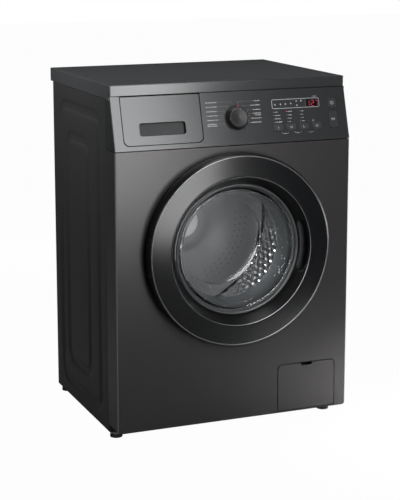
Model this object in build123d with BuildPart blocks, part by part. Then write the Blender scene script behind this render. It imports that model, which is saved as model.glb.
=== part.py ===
from build123d import *
import os
from math import atan2, cos, degrees, hypot, radians, sin, sqrt

os.makedirs("parts", exist_ok=True)

# Millimetres. +X is to the right, +Y to the back, +Z up; the origin is on the floor under the
# middle of the machine's whole depth.

# Overall sizes
WIDTH = 600.0
HEIGHT = 850.0
TOP_DEPTH = 462.0
PANEL_LEAD = 36.0
DOOR_PROUD = 42.0

BACK_Y = (TOP_DEPTH + PANEL_LEAD + DOOR_PROUD) / 2
TOP_FRONT_Y = BACK_Y - TOP_DEPTH
PANEL_Y = TOP_FRONT_Y - PANEL_LEAD
DOOR_FRONT_Y = PANEL_Y - DOOR_PROUD

# Clearances shared by every fit
RUN_FIT = 0.05
FIT = 0.4
SEAM = 0.8

# Sheet metal cabinet
SHEET = 1.5
SIDE_INSET = 3.0
SIDE_BOTTOM_Z = 14.0
SIDE_BACK_INSET = 11.0
FLANGE = 24.0
FOLD_RADIUS = 4.0
GROOVE_WIDTH = 33.0
GROOVE_DEPTH = 4.0
GROOVE_CORNER = 50.0
GROOVE_TAPER = 55.0
# Distances of each groove's outer edge from the panel's top, bottom, front and back edges
GROOVE_MARGINS = ((32.5, 25.5, 40.0, 46.0), (106.0, 87.0, 119.0, 98.0))

SIDE_X = WIDTH / 2 - SIDE_INSET
SIDE_BACK_Y = BACK_Y - SIDE_BACK_INSET
REAR_Y = SIDE_BACK_Y - SHEET

# Top plate
TOP_THICKNESS = 33.0
TOP_BOARD = 20.0
TOP_SKIRT = 30.0
TOP_RIM = 20.0
TOP_FIELD_DEPTH = 1.2
TOP_FIELD_TAPER = 30.0
TOP_CORNER = 4.0
TOP_EDGE = 2.5
TOP_FRONT_RISE = 7.0

TOP_Z = HEIGHT - TOP_THICKNESS
FASCIA_TOP_Z = TOP_Z + TOP_FRONT_RISE

# Front panel and its mouth
PANEL_BOTTOM_Z = 31.0
FASCIA_DROP = 116.5
PANEL_TOP_Z = TOP_Z - FASCIA_DROP
PANEL_RETURN = 65.0
PANEL_EDGE = 3.5
PANEL_FOOT_CORNER = 10.0
SEAM_Y = PANEL_Y + PANEL_RETURN
SIDE_FRONT_Y = SEAM_Y + SEAM
DOOR_DROP = 245.5
DOOR_Z = PANEL_TOP_Z - DOOR_DROP
DOOR_MARGIN = 69.0
DOOR_RADIUS = WIDTH / 2 - DOOR_MARGIN
MOUTH_INSET = 63.0
MOUTH_RADIUS = DOOR_RADIUS - MOUTH_INSET
MOUTH_COLLAR = 16.0

# Sloped control panel
FASCIA_WALL = 3.0
FASCIA_EDGE = 2.5
FASCIA_SEAM = 2.0
FASCIA_BOTTOM_Z = PANEL_TOP_Z + FASCIA_SEAM

# Base and feet
BASE_RAIL = 46.0
BASE_FLOOR = 3.0
FOOT_INSET = 20.0
FOOT_RADIUS = 15.0
FOOT_PAD = 8.0
FOOT_STEM_RADIUS = 5.0
FOOT_STEM_TOP = 52.0
NUT_ACROSS = 24.0
NUT_BORE_GAP = 0.2

DOOR_AXIS = Axis((0, 0, DOOR_Z), (0, 1, 0))
DOOR_PLANE = Plane.XY.offset(DOOR_Z)


def front_plane(y):
    """Plane that faces the front at depth y, with X to the right and Z up."""
    return Plane.XZ.offset(-y)


# The control panel's face leans back between its top and bottom edges; its plane's X is to the
# right, its Y up the face and its origin at the middle of the face's top edge.
FACE_RUN = (TOP_FRONT_Y - PANEL_Y) / (FASCIA_TOP_Z - FASCIA_BOTTOM_Z)
FACE_TILT = atan2(TOP_FRONT_Y - PANEL_Y, FASCIA_TOP_Z - FASCIA_BOTTOM_Z)
FACE = Plane(
    origin=(0, TOP_FRONT_Y, FASCIA_TOP_Z),
    x_dir=(1, 0, 0),
    z_dir=(0, -cos(FACE_TILT), sin(FACE_TILT)),
)


def face_y(z, depth=0.0):
    """Y of the control panel's face, or of a surface that deep behind it, at height z."""
    return TOP_FRONT_Y - (FASCIA_TOP_Z - z) * FACE_RUN + depth / cos(FACE_TILT)


# Top plate: a board with a raised rim round its field and a skirt underneath
with BuildPart() as top_plate:
    with BuildSketch(Plane.XY.offset(TOP_Z)):
        with Locations((0, TOP_FRONT_Y + TOP_DEPTH / 2)):
            RectangleRounded(WIDTH, TOP_DEPTH, TOP_CORNER)
    extrude(amount=TOP_THICKNESS)
    top_edges = top_plate.faces().sort_by(Axis.Z)[-1].edges()
    fillet(top_edges, radius=TOP_EDGE)
    with BuildSketch(Plane.XY.offset(HEIGHT)):
        with Locations((0, TOP_FRONT_Y + TOP_DEPTH / 2)):
            RectangleRounded(WIDTH - 2 * TOP_RIM, TOP_DEPTH - 2 * TOP_RIM, TOP_CORNER)
    extrude(amount=-TOP_FIELD_DEPTH, taper=TOP_FIELD_TAPER, mode=Mode.SUBTRACT)
    with BuildSketch(Plane.XY.offset(TOP_Z)):
        with Locations((0, TOP_FRONT_Y + TOP_DEPTH / 2)):
            Rectangle(WIDTH - 2 * TOP_SKIRT, TOP_DEPTH - 2 * TOP_SKIRT)
    extrude(amount=TOP_THICKNESS - TOP_BOARD, mode=Mode.SUBTRACT)
    # The skirt is cut higher over the control panel
    with BuildSketch(Plane.XY.offset(TOP_Z)):
        with Locations((0, TOP_FRONT_Y)):
            Rectangle(WIDTH, 2 * (SEAM_Y - TOP_FRONT_Y), align=(Align.CENTER, Align.CENTER))
    extrude(amount=TOP_FRONT_RISE, mode=Mode.SUBTRACT)
top_plate.part.label = "top_plate"
export_step(top_plate.part, "parts/top_plate.step")

# Side panels: folded sheets with two pressed grooves that follow each other round the panel
SIDE_HEIGHT = TOP_Z - SIDE_BOTTOM_Z
for side, sign in (("left", -1), ("right", 1)):
    with BuildPart() as side_panel:
        with BuildSketch(Plane.XY.offset(SIDE_BOTTOM_Z)):
            outer_x = sign * SIDE_X
            inner_x = sign * (SIDE_X - SHEET)
            flange_x = sign * (SIDE_X - FLANGE)
            with BuildLine():
                Polyline(
                    (flange_x, SIDE_FRONT_Y),
                    (outer_x, SIDE_FRONT_Y),
                    (outer_x, SIDE_BACK_Y),
                    (flange_x, SIDE_BACK_Y),
                    (flange_x, SIDE_BACK_Y - SHEET),
                    (inner_x, SIDE_BACK_Y - SHEET),
                    (inner_x, SIDE_FRONT_Y + SHEET),
                    (flange_x, SIDE_FRONT_Y + SHEET),
                    close=True,
                )
            make_face()
        extrude(amount=SIDE_HEIGHT)
        folds = side_panel.edges().filter_by(Axis.Z).group_by(Axis.X)[0 if sign < 0 else -1]
        fillet(folds, radius=FOLD_RADIUS)
        side_mid_y = (SIDE_FRONT_Y + SIDE_BACK_Y) / 2
        side_depth = SIDE_BACK_Y - SIDE_FRONT_Y - 2 * SHEET
        with BuildSketch(Plane.XY.offset(TOP_Z)):
            with Locations((sign * (SIDE_X - SHEET - FLANGE / 2), side_mid_y)):
                Rectangle(FLANGE, side_depth)
        extrude(amount=-SHEET)
        for top, bottom, front, back in GROOVE_MARGINS:
            loop_y = (SIDE_FRONT_Y + front + SIDE_BACK_Y - back) / 2
            loop_z = (SIDE_BOTTOM_Z + bottom + TOP_Z - top) / 2
            loop_depth = SIDE_BACK_Y - back - SIDE_FRONT_Y - front
            loop_height = SIDE_HEIGHT - top - bottom
            for wall, depth, taper, mode in (
                (SHEET, SHEET + GROOVE_DEPTH, 0, Mode.ADD),
                (0.0, GROOVE_DEPTH, GROOVE_TAPER, Mode.SUBTRACT),
            ):
                with BuildSketch(Plane.YZ.offset(outer_x)):
                    with Locations((loop_y, loop_z)):
                        RectangleRounded(
                            loop_depth + 2 * wall, loop_height + 2 * wall, GROOVE_CORNER + wall
                        )
                        RectangleRounded(
                            loop_depth - 2 * (GROOVE_WIDTH + wall),
                            loop_height - 2 * (GROOVE_WIDTH + wall),
                            GROOVE_CORNER - GROOVE_WIDTH - wall,
                            mode=Mode.SUBTRACT,
                        )
                extrude(amount=-sign * depth, taper=taper, mode=mode)
    side_panel.part.label = f"{side}_side_panel"
    export_step(side_panel.part, f"parts/{side}_side_panel.step")

# Base frame: a floor pan with a ring of rails, two cross rails and holes for the feet
BASE_HALF_X = SIDE_X - SHEET
BASE_FRONT_Y = SIDE_FRONT_Y + SHEET
BASE_BACK_Y = SIDE_BACK_Y - SHEET
BASE_HEIGHT = PANEL_BOTTOM_Z - SIDE_BOTTOM_Z
BASE_MID_Y = (BASE_FRONT_Y + BASE_BACK_Y) / 2
BASE_DEPTH = BASE_BACK_Y - BASE_FRONT_Y
FOOT_X = SIDE_X - FOOT_INSET
FOOT_YS = (BASE_FRONT_Y + FOOT_INSET / 2, BASE_BACK_Y - FOOT_INSET)
FOOT_SPOTS = [(x, y) for x in (-FOOT_X, FOOT_X) for y in FOOT_YS]
CROSS_RAIL_SPAN = 150.0
with BuildPart() as base_frame:
    with BuildSketch(Plane.XY.offset(SIDE_BOTTOM_Z)):
        with Locations((0, BASE_MID_Y)):
            Rectangle(2 * BASE_HALF_X, BASE_DEPTH)
            Rectangle(2 * (BASE_HALF_X - BASE_RAIL), BASE_DEPTH - 2 * BASE_RAIL, mode=Mode.SUBTRACT)
        with Locations((0, BASE_MID_Y - CROSS_RAIL_SPAN / 2), (0, BASE_MID_Y + CROSS_RAIL_SPAN / 2)):
            Rectangle(2 * BASE_HALF_X, BASE_RAIL)
        with Locations(*FOOT_SPOTS):
            Circle(FOOT_STEM_RADIUS + NUT_BORE_GAP, mode=Mode.SUBTRACT)
    extrude(amount=BASE_HEIGHT)
    with BuildSketch(Plane.XY.offset(SIDE_BOTTOM_Z)):
        with Locations((0, BASE_MID_Y)):
            Rectangle(2 * (BASE_HALF_X - BASE_RAIL), BASE_DEPTH - 2 * BASE_RAIL)
    extrude(amount=BASE_FLOOR)
base_frame.part.label = "base_frame"
export_step(base_frame.part, "parts/base_frame.step")

# Feet: a rubber pad on a threaded stem, with a lock nut under the base frame
with BuildPart() as feet:
    with BuildSketch(Plane.XY):
        with Locations(*FOOT_SPOTS):
            Circle(FOOT_RADIUS)
    extrude(amount=FOOT_PAD)
    fillet(feet.faces().sort_by(Axis.Z)[-4:].edges(), radius=FOOT_PAD / 4)
    with BuildSketch(Plane.XY.offset(FOOT_PAD)):
        with Locations(*FOOT_SPOTS):
            Circle(FOOT_STEM_RADIUS)
    extrude(amount=FOOT_STEM_TOP - FOOT_PAD)
feet.part.label = "feet"
export_step(feet.part, "parts/feet.step")

with BuildPart() as foot_lock_nuts:
    with BuildSketch(Plane.XY.offset(FOOT_PAD)):
        with Locations(*FOOT_SPOTS):
            RegularPolygon(NUT_ACROSS / 2, 6, major_radius=False)
            Circle(FOOT_STEM_RADIUS + NUT_BORE_GAP, mode=Mode.SUBTRACT)
    extrude(amount=SIDE_BOTTOM_Z - FOOT_PAD)
foot_lock_nuts.part.label = "foot_lock_nuts"
export_step(foot_lock_nuts.part, "parts/foot_lock_nuts.step")

# Front panel: a tray of folded sheet with a collared mouth, hinge slots, a latch slot and a
# cut-out for the filter cover
HINGE_REACH = 13.0
HINGE_INSET = DOOR_RADIUS - HINGE_REACH
HINGE_LEAD = 22.0
HINGE_X = -HINGE_INSET
HINGE_Y = PANEL_Y - HINGE_LEAD
LUG_SPREAD = 42.0
LUG_THICKNESS = 10.0
LUG_WIDTH = 13.0
LUG_SLOT_GAP = 2.0
LATCH_REACH = 22.0
LATCH_X = DOOR_RADIUS - LATCH_REACH
LATCH_SLOT_WIDTH = 24.0
LATCH_SLOT_HEIGHT = 28.0
LATCH_SLOT_SHIFT = 1.0
LATCH_SLOT_X = LATCH_X + LATCH_SLOT_SHIFT
COVER_INSET = 108.6
COVER_LIFT = 62.4
COVER_X = WIDTH / 2 - COVER_INSET
COVER_Z = PANEL_BOTTOM_Z + COVER_LIFT
COVER_WIDTH = 153.6
COVER_HEIGHT = 117.8
COVER_CORNER = 12.0
COVER_FOOT_CORNER = 3.0
COVER_FOOT_HEIGHT = 40.0
COVER_GAP = 1.2
COVER_FOOT_GAP = 1.6
PANEL_HEIGHT = PANEL_TOP_Z - PANEL_BOTTOM_Z
LUG_ZS = (DOOR_Z - LUG_SPREAD, DOOR_Z + LUG_SPREAD)
with BuildPart() as front_panel:
    with BuildSketch(Plane.XY.offset(PANEL_BOTTOM_Z)) as panel_plan:
        with Locations((0, PANEL_Y)):
            Rectangle(WIDTH, PANEL_RETURN, align=(Align.CENTER, Align.MIN))
        fillet(panel_plan.vertices().group_by(Axis.Y)[0], radius=PANEL_EDGE)
    extrude(amount=PANEL_HEIGHT)
    with BuildSketch(front_plane(PANEL_Y)) as panel_outline:
        with Locations((0, PANEL_BOTTOM_Z)):
            Rectangle(WIDTH, PANEL_HEIGHT, align=(Align.CENTER, Align.MIN))
        fillet(panel_outline.vertices().group_by(Axis.Y)[0], radius=PANEL_FOOT_CORNER)
    extrude(amount=-PANEL_RETURN, mode=Mode.INTERSECT)
    offset(amount=-SHEET, openings=front_panel.faces().sort_by(Axis.Y)[-1])
    with BuildSketch(front_plane(PANEL_Y)):
        with Locations((0, DOOR_Z)):
            Circle(MOUTH_RADIUS)
        with Locations(*[(HINGE_X, z) for z in LUG_ZS]):
            Rectangle(LUG_WIDTH + 2 * LUG_SLOT_GAP, LUG_THICKNESS + 2 * LUG_SLOT_GAP)
        with Locations((LATCH_SLOT_X, DOOR_Z)):
            Rectangle(LATCH_SLOT_WIDTH, LATCH_SLOT_HEIGHT)
        with Locations((COVER_X, COVER_Z - (COVER_FOOT_GAP - COVER_GAP) / 2)):
            RectangleRounded(
                COVER_WIDTH + 2 * COVER_GAP, COVER_HEIGHT + COVER_GAP + COVER_FOOT_GAP, COVER_CORNER
            )
        with Locations((COVER_X, COVER_Z - COVER_HEIGHT / 2 - COVER_FOOT_GAP)):
            RectangleRounded(
                COVER_WIDTH + 2 * COVER_GAP,
                COVER_FOOT_HEIGHT,
                COVER_FOOT_CORNER,
                align=(Align.CENTER, Align.MIN),
            )
    extrude(amount=-2 * SHEET, mode=Mode.SUBTRACT)
    with BuildSketch(front_plane(PANEL_Y)):
        with Locations((0, DOOR_Z)):
            Circle(MOUTH_RADIUS + SHEET)
            Circle(MOUTH_RADIUS, mode=Mode.SUBTRACT)
    extrude(amount=-MOUTH_COLLAR)
front_panel.part.label = "front_panel"
export_step(front_panel.part, "parts/front_panel.step")

# Controls on the sloped face: positions are across the machine and down the face from its top
DRAWER_INSET = 24.5
DRAWER_WIDTH = 196.0
DRAWER_X = DRAWER_INSET + DRAWER_WIDTH / 2 - WIDTH / 2
DRAWER_TOP_S = 1.0
DRAWER_BOTTOM_S = 115.5
DRAWER_CORNER = 14.0
DRAWER_GAP = 1.0
DIAL_OFFSET = 88.5
DIAL_X = DRAWER_X + DRAWER_WIDTH / 2 + DIAL_OFFSET
DIAL_S = 64.5
DIAL_RADIUS = 27.3
DIAL_PROUD = 17.0
DIAL_LIFT = 0.8
DIAL_SHAFT_RADIUS = 4.0
RING_INNER = 28.4
RING_OUTER = 30.6
RING_DEPTH = 1.5
RING_PROUD = 0.3
RING_GAP_ANGLE = 68.0
DISPLAY_INSET = 134.1
DISPLAY_X = WIDTH / 2 - DISPLAY_INSET
DISPLAY_S = 35.5
DISPLAY_WIDTH = 125.2
DISPLAY_HEIGHT = 22.0
DISPLAY_CORNER = 4.0
DISPLAY_LIP = 1.0
OPTION_INSET = 135.25
OPTION_X = WIDTH / 2 - OPTION_INSET
OPTION_S = 92.0
OPTION_PITCH = 33.9
OPTION_COUNT = 4
OPTION_SIZE = (25.0, 17.0, 7.0)
POWER_INSET, POWER_S = 38.0, 39.0
POWER_X = WIDTH / 2 - POWER_INSET
POWER_SIZE = (21.0, 25.4, 6.0)
START_INSET, START_S = 39.0, 78.6
START_X = WIDTH / 2 - START_INSET
START_SIZE = (21.4, 40.6, 6.0)
BUTTON_PROUD = 1.4
BUTTON_TRAVEL = 1.5
BUTTON_FLANGE = 1.6
BOARD_DEPTH = 12.0
BOARD_THICKNESS = 10.0
BOARD_POST_RADIUS = 4.0

OPTION_LEFT = OPTION_X - (OPTION_COUNT - 1) / 2 * OPTION_PITCH
BUTTONS = [
    (f"option_button_{i + 1}", OPTION_LEFT + i * OPTION_PITCH, OPTION_S, OPTION_SIZE)
    for i in range(OPTION_COUNT)
]
BUTTONS.append(("power_button", POWER_X, POWER_S, POWER_SIZE))
BUTTONS.append(("start_button", START_X, START_S, START_SIZE))

# Control panel: a wedge-shaped moulded shell, open at the back
DRAWER_MID_S = (DRAWER_TOP_S + DRAWER_BOTTOM_S) / 2
DRAWER_HEIGHT = DRAWER_BOTTOM_S - DRAWER_TOP_S
with BuildPart() as control_panel:
    with BuildSketch(Plane.YZ.offset(-WIDTH / 2)):
        Polygon(
            (TOP_FRONT_Y, FASCIA_TOP_Z),
            (PANEL_Y, FASCIA_BOTTOM_Z),
            (SEAM_Y, FASCIA_BOTTOM_Z),
            (SEAM_Y, FASCIA_TOP_Z),
            align=None,
        )
    extrude(amount=WIDTH)
    face_edges = control_panel.faces().sort_by(Axis.Y)[0].edges().sort_by(Axis.X)
    fillet([face_edges[0], face_edges[-1]], radius=FASCIA_EDGE)
    offset(amount=-FASCIA_WALL, openings=control_panel.faces().sort_by(Axis.Y)[-1])
    # The drawer's place runs up to the top plate
    with BuildSketch(FACE):
        with Locations((DRAWER_X, -DRAWER_MID_S)):
            RectangleRounded(DRAWER_WIDTH + 2 * DRAWER_GAP, DRAWER_HEIGHT + 2 * DRAWER_GAP, DRAWER_CORNER)
        with Locations((DRAWER_X, 0)):
            Rectangle(DRAWER_WIDTH + 2 * DRAWER_GAP, DRAWER_HEIGHT)
        with Locations((DIAL_X, -DIAL_S)):
            Circle(DIAL_SHAFT_RADIUS + FIT)
        with Locations((DISPLAY_X, -DISPLAY_S)):
            RectangleRounded(DISPLAY_WIDTH, DISPLAY_HEIGHT, DISPLAY_CORNER)
        for name, x, s, (width, height, corner) in BUTTONS:
            with Locations((x, -s)):
                RectangleRounded(width + 2 * FIT, height + 2 * FIT, corner + FIT)
    extrude(amount=-2 * FASCIA_WALL, mode=Mode.SUBTRACT)
    with BuildSketch(Plane.XY.offset(FASCIA_TOP_Z)):
        with Locations((DRAWER_X, TOP_FRONT_Y)):
            Rectangle(DRAWER_WIDTH + 2 * DRAWER_GAP, 2 * (SEAM_Y - TOP_FRONT_Y))
    extrude(amount=-2 * FASCIA_WALL, mode=Mode.SUBTRACT)
    with BuildSketch(FACE):
        with Locations((DIAL_X, -DIAL_S)):
            Circle(RING_OUTER + RING_PROUD / 2)
            Circle(RING_INNER - RING_PROUD / 2, mode=Mode.SUBTRACT)
    extrude(amount=-RING_DEPTH, mode=Mode.SUBTRACT)
control_panel.part.label = "control_panel"
export_step(control_panel.part, "parts/control_panel.step")

# Light ring round the dial: a C with its gap at the bottom
with BuildPart() as dial_ring:
    with BuildSketch(FACE.offset(-RING_DEPTH)):
        with Locations((DIAL_X, -DIAL_S)):
            Circle(RING_OUTER)
            Circle(RING_INNER, mode=Mode.SUBTRACT)
        gap_half = RING_OUTER * sin(radians(RING_GAP_ANGLE / 2))
        with Locations((DIAL_X, -DIAL_S)):
            Polygon((0, 0), (-gap_half * 2, -RING_OUTER * 2), (gap_half * 2, -RING_OUTER * 2), align=None,
                    mode=Mode.SUBTRACT)
    extrude(amount=RING_DEPTH + RING_PROUD)
dial_ring.part.label = "dial_ring"
export_step(dial_ring.part, "parts/dial_ring.step")

# Programme dial: a conical knob with a grip flare and its shaft
KNOB_FLARE = 5.0
KNOB_TOP_RADIUS = 21.5
KNOB_ROUND = 1.5
KNOB_DISH = 3.0
KNOB_DISH_RADIUS = 17.0
DIAL_PLANE = Plane(
    origin=FACE.from_local_coords(Vector(DIAL_X, -DIAL_S, 0)), x_dir=FACE.x_dir, z_dir=FACE.z_dir
)
DIAL_TURN = Axis(DIAL_PLANE.origin, DIAL_PLANE.z_dir)
with BuildPart() as programme_dial:
    with BuildSketch(Plane(DIAL_PLANE.origin, x_dir=DIAL_PLANE.x_dir, z_dir=-DIAL_PLANE.y_dir)):
        with BuildLine():
            Polyline(
                (0, -BOARD_DEPTH + FIT),
                (DIAL_SHAFT_RADIUS, -BOARD_DEPTH + FIT),
                (DIAL_SHAFT_RADIUS, DIAL_LIFT),
                (DIAL_RADIUS, DIAL_LIFT),
                (DIAL_RADIUS, DIAL_LIFT + KNOB_FLARE / 2),
                (KNOB_TOP_RADIUS + KNOB_ROUND, DIAL_LIFT + KNOB_FLARE * 1.5),
                (KNOB_TOP_RADIUS, DIAL_PROUD - KNOB_ROUND),
                (KNOB_TOP_RADIUS - KNOB_ROUND, DIAL_PROUD),
                (KNOB_DISH_RADIUS, DIAL_PROUD),
                (0, DIAL_PROUD - KNOB_DISH),
                close=True,
            )
        make_face()
    revolve(axis=DIAL_TURN)
programme_dial.part.label = "programme_dial"
export_step(programme_dial.part, "parts/programme_dial.step")

# Display window, set into its cut-out
with BuildPart() as display_window:
    with BuildSketch(FACE):
        with Locations((DISPLAY_X, -DISPLAY_S)):
            RectangleRounded(DISPLAY_WIDTH - FIT, DISPLAY_HEIGHT - FIT, DISPLAY_CORNER - FIT / 2)
    extrude(amount=-FASCIA_WALL)
    with BuildSketch(FACE.offset(-FASCIA_WALL)):
        with Locations((DISPLAY_X, -DISPLAY_S)):
            RectangleRounded(
                DISPLAY_WIDTH + 2 * DISPLAY_LIP, DISPLAY_HEIGHT + 2 * DISPLAY_LIP, DISPLAY_CORNER
            )
    extrude(amount=-SHEET)
display_window.part.label = "display_window"
export_step(display_window.part, "parts/display_window.step")

# Push buttons: a cap through the panel, a flange behind it and a stem towards the board
for name, x, s, (width, height, corner) in BUTTONS:
    with BuildPart() as button:
        with BuildSketch(FACE.offset(-FASCIA_WALL - FIT)):
            with Locations((x, -s)):
                RectangleRounded(width, height, corner)
        extrude(amount=FASCIA_WALL + FIT + BUTTON_PROUD)
        fillet(button.faces().sort_by(Axis(FACE.origin, FACE.z_dir))[-1].edges(), radius=BUTTON_PROUD / 2)
        with BuildSketch(FACE.offset(-FASCIA_WALL - FIT)):
            with Locations((x, -s)):
                RectangleRounded(width + 2 * BUTTON_FLANGE, height + 2 * BUTTON_FLANGE, corner)
        extrude(amount=-SHEET)
        with BuildSketch(FACE.offset(-FASCIA_WALL - FIT)):
            with Locations((x, -s)):
                Circle(BOARD_POST_RADIUS)
        extrude(amount=-(BOARD_DEPTH - FASCIA_WALL - BUTTON_TRAVEL - 2 * FIT))
    button.part.label = name
    export_step(button.part, f"parts/{name}.step")

# Control board in its casing, on posts behind the panel's face
BOARD_DIAL_LAP = 23.0
BOARD_INSET = 16.0
BOARD_LEFT = DIAL_X - BOARD_DIAL_LAP
BOARD_RIGHT = WIDTH / 2 - BOARD_INSET
BOARD_TOP_S = 16.0
BOARD_BOTTOM_S = 108.0
BOARD_POST_INSET = 6.0
BOARD_POST_GAP = 25.9
BOARD_POST_X = OPTION_LEFT - BOARD_POST_GAP
BOARD_POSTS = [
    (x, -s)
    for x in (BOARD_LEFT + BOARD_POST_INSET, BOARD_POST_X, BOARD_RIGHT - BOARD_POST_INSET)
    for s in (BOARD_TOP_S + BOARD_POST_INSET, BOARD_BOTTOM_S - BOARD_POST_INSET)
]
with BuildPart() as control_board:
    with BuildSketch(FACE.offset(-BOARD_DEPTH)):
        with Locations(((BOARD_LEFT + BOARD_RIGHT) / 2, -(BOARD_TOP_S + BOARD_BOTTOM_S) / 2)):
            RectangleRounded(BOARD_RIGHT - BOARD_LEFT, BOARD_BOTTOM_S - BOARD_TOP_S, BOARD_POST_RADIUS)
    extrude(amount=-BOARD_THICKNESS)
    with BuildSketch(FACE.offset(-FASCIA_WALL)):
        with Locations(*BOARD_POSTS):
            Circle(BOARD_POST_RADIUS)
    extrude(amount=-(BOARD_DEPTH - FASCIA_WALL))
control_board.part.label = "control_board"
export_step(control_board.part, "parts/control_board.step")

# Door: the outer frame is a hollow ring whose cone leads in to the glass; a finger slot opens
# through the cone on the latch side, and notches clear the hinge lugs
DOOR_WALL = 3.0
DOOR_BACK_GAP = 5.0
DOOR_SHOULDER = 6.0
DOOR_SLOPE = 5.0
DOOR_FACE_WIDTH = 53.0
DOOR_CONE_WIDTH = 20.0
DOOR_EYE_RADIUS = DOOR_RADIUS - DOOR_FACE_WIDTH
GLASS_SEAT_RADIUS = DOOR_EYE_RADIUS - DOOR_CONE_WIDTH
GLASS_SEAT_LEAD = 10.0
INNER_FRAME_GAP = 1.3
INNER_FRAME_WALL = 3.0
INNER_FRAME_LAP = 8.0
INNER_FRAME_BORE = GLASS_SEAT_RADIUS - INNER_FRAME_LAP
SLOT_HALF_HEIGHT = 58.0
SLOT_REACH = 20.0
NOTCH_GAP = 2.0
NOTCH_LEAD = 12.5

DOOR_BACK_Y = PANEL_Y - DOOR_BACK_GAP
SEAT_Y = PANEL_Y - GLASS_SEAT_LEAD
SHOULDER_Y = DOOR_FRONT_Y + DOOR_SLOPE
NOTCH_HEIGHT = LUG_THICKNESS + 2 * NOTCH_GAP
NOTCH_IN_X = HINGE_X + LUG_WIDTH / 2 + NOTCH_GAP
NOTCH_FRONT_Y = HINGE_Y - NOTCH_LEAD

# Space that the hinge lugs sweep, taken out of both door frames
with BuildPart() as hinge_notches:
    with BuildSketch(front_plane(NOTCH_FRONT_Y)):
        with Locations(*[(NOTCH_IN_X, z) for z in LUG_ZS]):
            Rectangle(DOOR_RADIUS, NOTCH_HEIGHT, align=(Align.MAX, Align.CENTER))
    extrude(amount=-(PANEL_Y - NOTCH_FRONT_Y))

with BuildPart() as door_frame:
    with BuildSketch(DOOR_PLANE):
        with BuildLine():
            wall_front = (DOOR_RADIUS, SHOULDER_Y + DOOR_SHOULDER)
            face_outer = (DOOR_RADIUS - DOOR_SHOULDER, SHOULDER_Y)
            face_inner = (DOOR_EYE_RADIUS, DOOR_FRONT_Y)
            seat = (GLASS_SEAT_RADIUS, SEAT_Y)
            Line((DOOR_RADIUS, DOOR_BACK_Y), wall_front)
            TangentArc(wall_front, face_outer, tangent=(0, -1))
            Line(face_outer, face_inner)
            Line(face_inner, seat)
            Line(seat, (GLASS_SEAT_RADIUS + DOOR_WALL, SEAT_Y))
            Polyline(
                (GLASS_SEAT_RADIUS + DOOR_WALL, SEAT_Y),
                (DOOR_EYE_RADIUS + DOOR_WALL, DOOR_FRONT_Y + DOOR_WALL),
                (DOOR_RADIUS - DOOR_SHOULDER, SHOULDER_Y + DOOR_WALL),
                (DOOR_RADIUS - DOOR_WALL, SHOULDER_Y + DOOR_SHOULDER),
                (DOOR_RADIUS - DOOR_WALL, DOOR_BACK_Y),
                (DOOR_RADIUS, DOOR_BACK_Y),
            )
        make_face()
    revolve(axis=DOOR_AXIS)
    add(hinge_notches.part, mode=Mode.SUBTRACT)
    with BuildSketch(Plane.YZ.offset(GLASS_SEAT_RADIUS - SLOT_REACH * 2)):
        slot_mid_y = (SEAT_Y + DOOR_FRONT_Y) / 2
        with Locations((slot_mid_y, DOOR_Z)):
            RectangleRounded(SLOT_REACH, 2 * SLOT_HALF_HEIGHT, SLOT_REACH / 3)
    extrude(amount=SLOT_REACH * 5, mode=Mode.SUBTRACT)
door_frame.part.label = "door_frame"
export_step(door_frame.part, "parts/door_frame.step")

# Inner door frame: a shallow tray that closes the ring, clamps the glass and carries the hinge
# block and the latch block
HINGE_PIN_RADIUS = 3.0
HINGE_BLOCK = 14.0
LATCH_PIVOT_LEAD = 14.0
LATCH_PIN_RADIUS = 3.0
LATCH_BLOCK_WIDTH = 20.0
LATCH_BLOCK_HEIGHT = 34.0
HOOK_THICKNESS = 14.0
HOOK_ARM = 6.0
HOOK_REACH = 38.0
HOOK_BARB = 5.0
LATCH_Y = PANEL_Y - LATCH_PIVOT_LEAD
HINGE_BLOCK_HALF = LUG_SPREAD - LUG_THICKNESS / 2 - NOTCH_GAP
INNER_BACK_Y = PANEL_Y - INNER_FRAME_GAP
INNER_RIM_RADIUS = DOOR_RADIUS - DOOR_WALL - FIT / 2
INNER_RIM_Y = DOOR_BACK_Y - INNER_FRAME_WALL
INNER_STEP_RADIUS = HINGE_INSET
GLASS_FLANGE = 5.0
GLASS_BACK_Y = SEAT_Y + GLASS_FLANGE / 2
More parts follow.
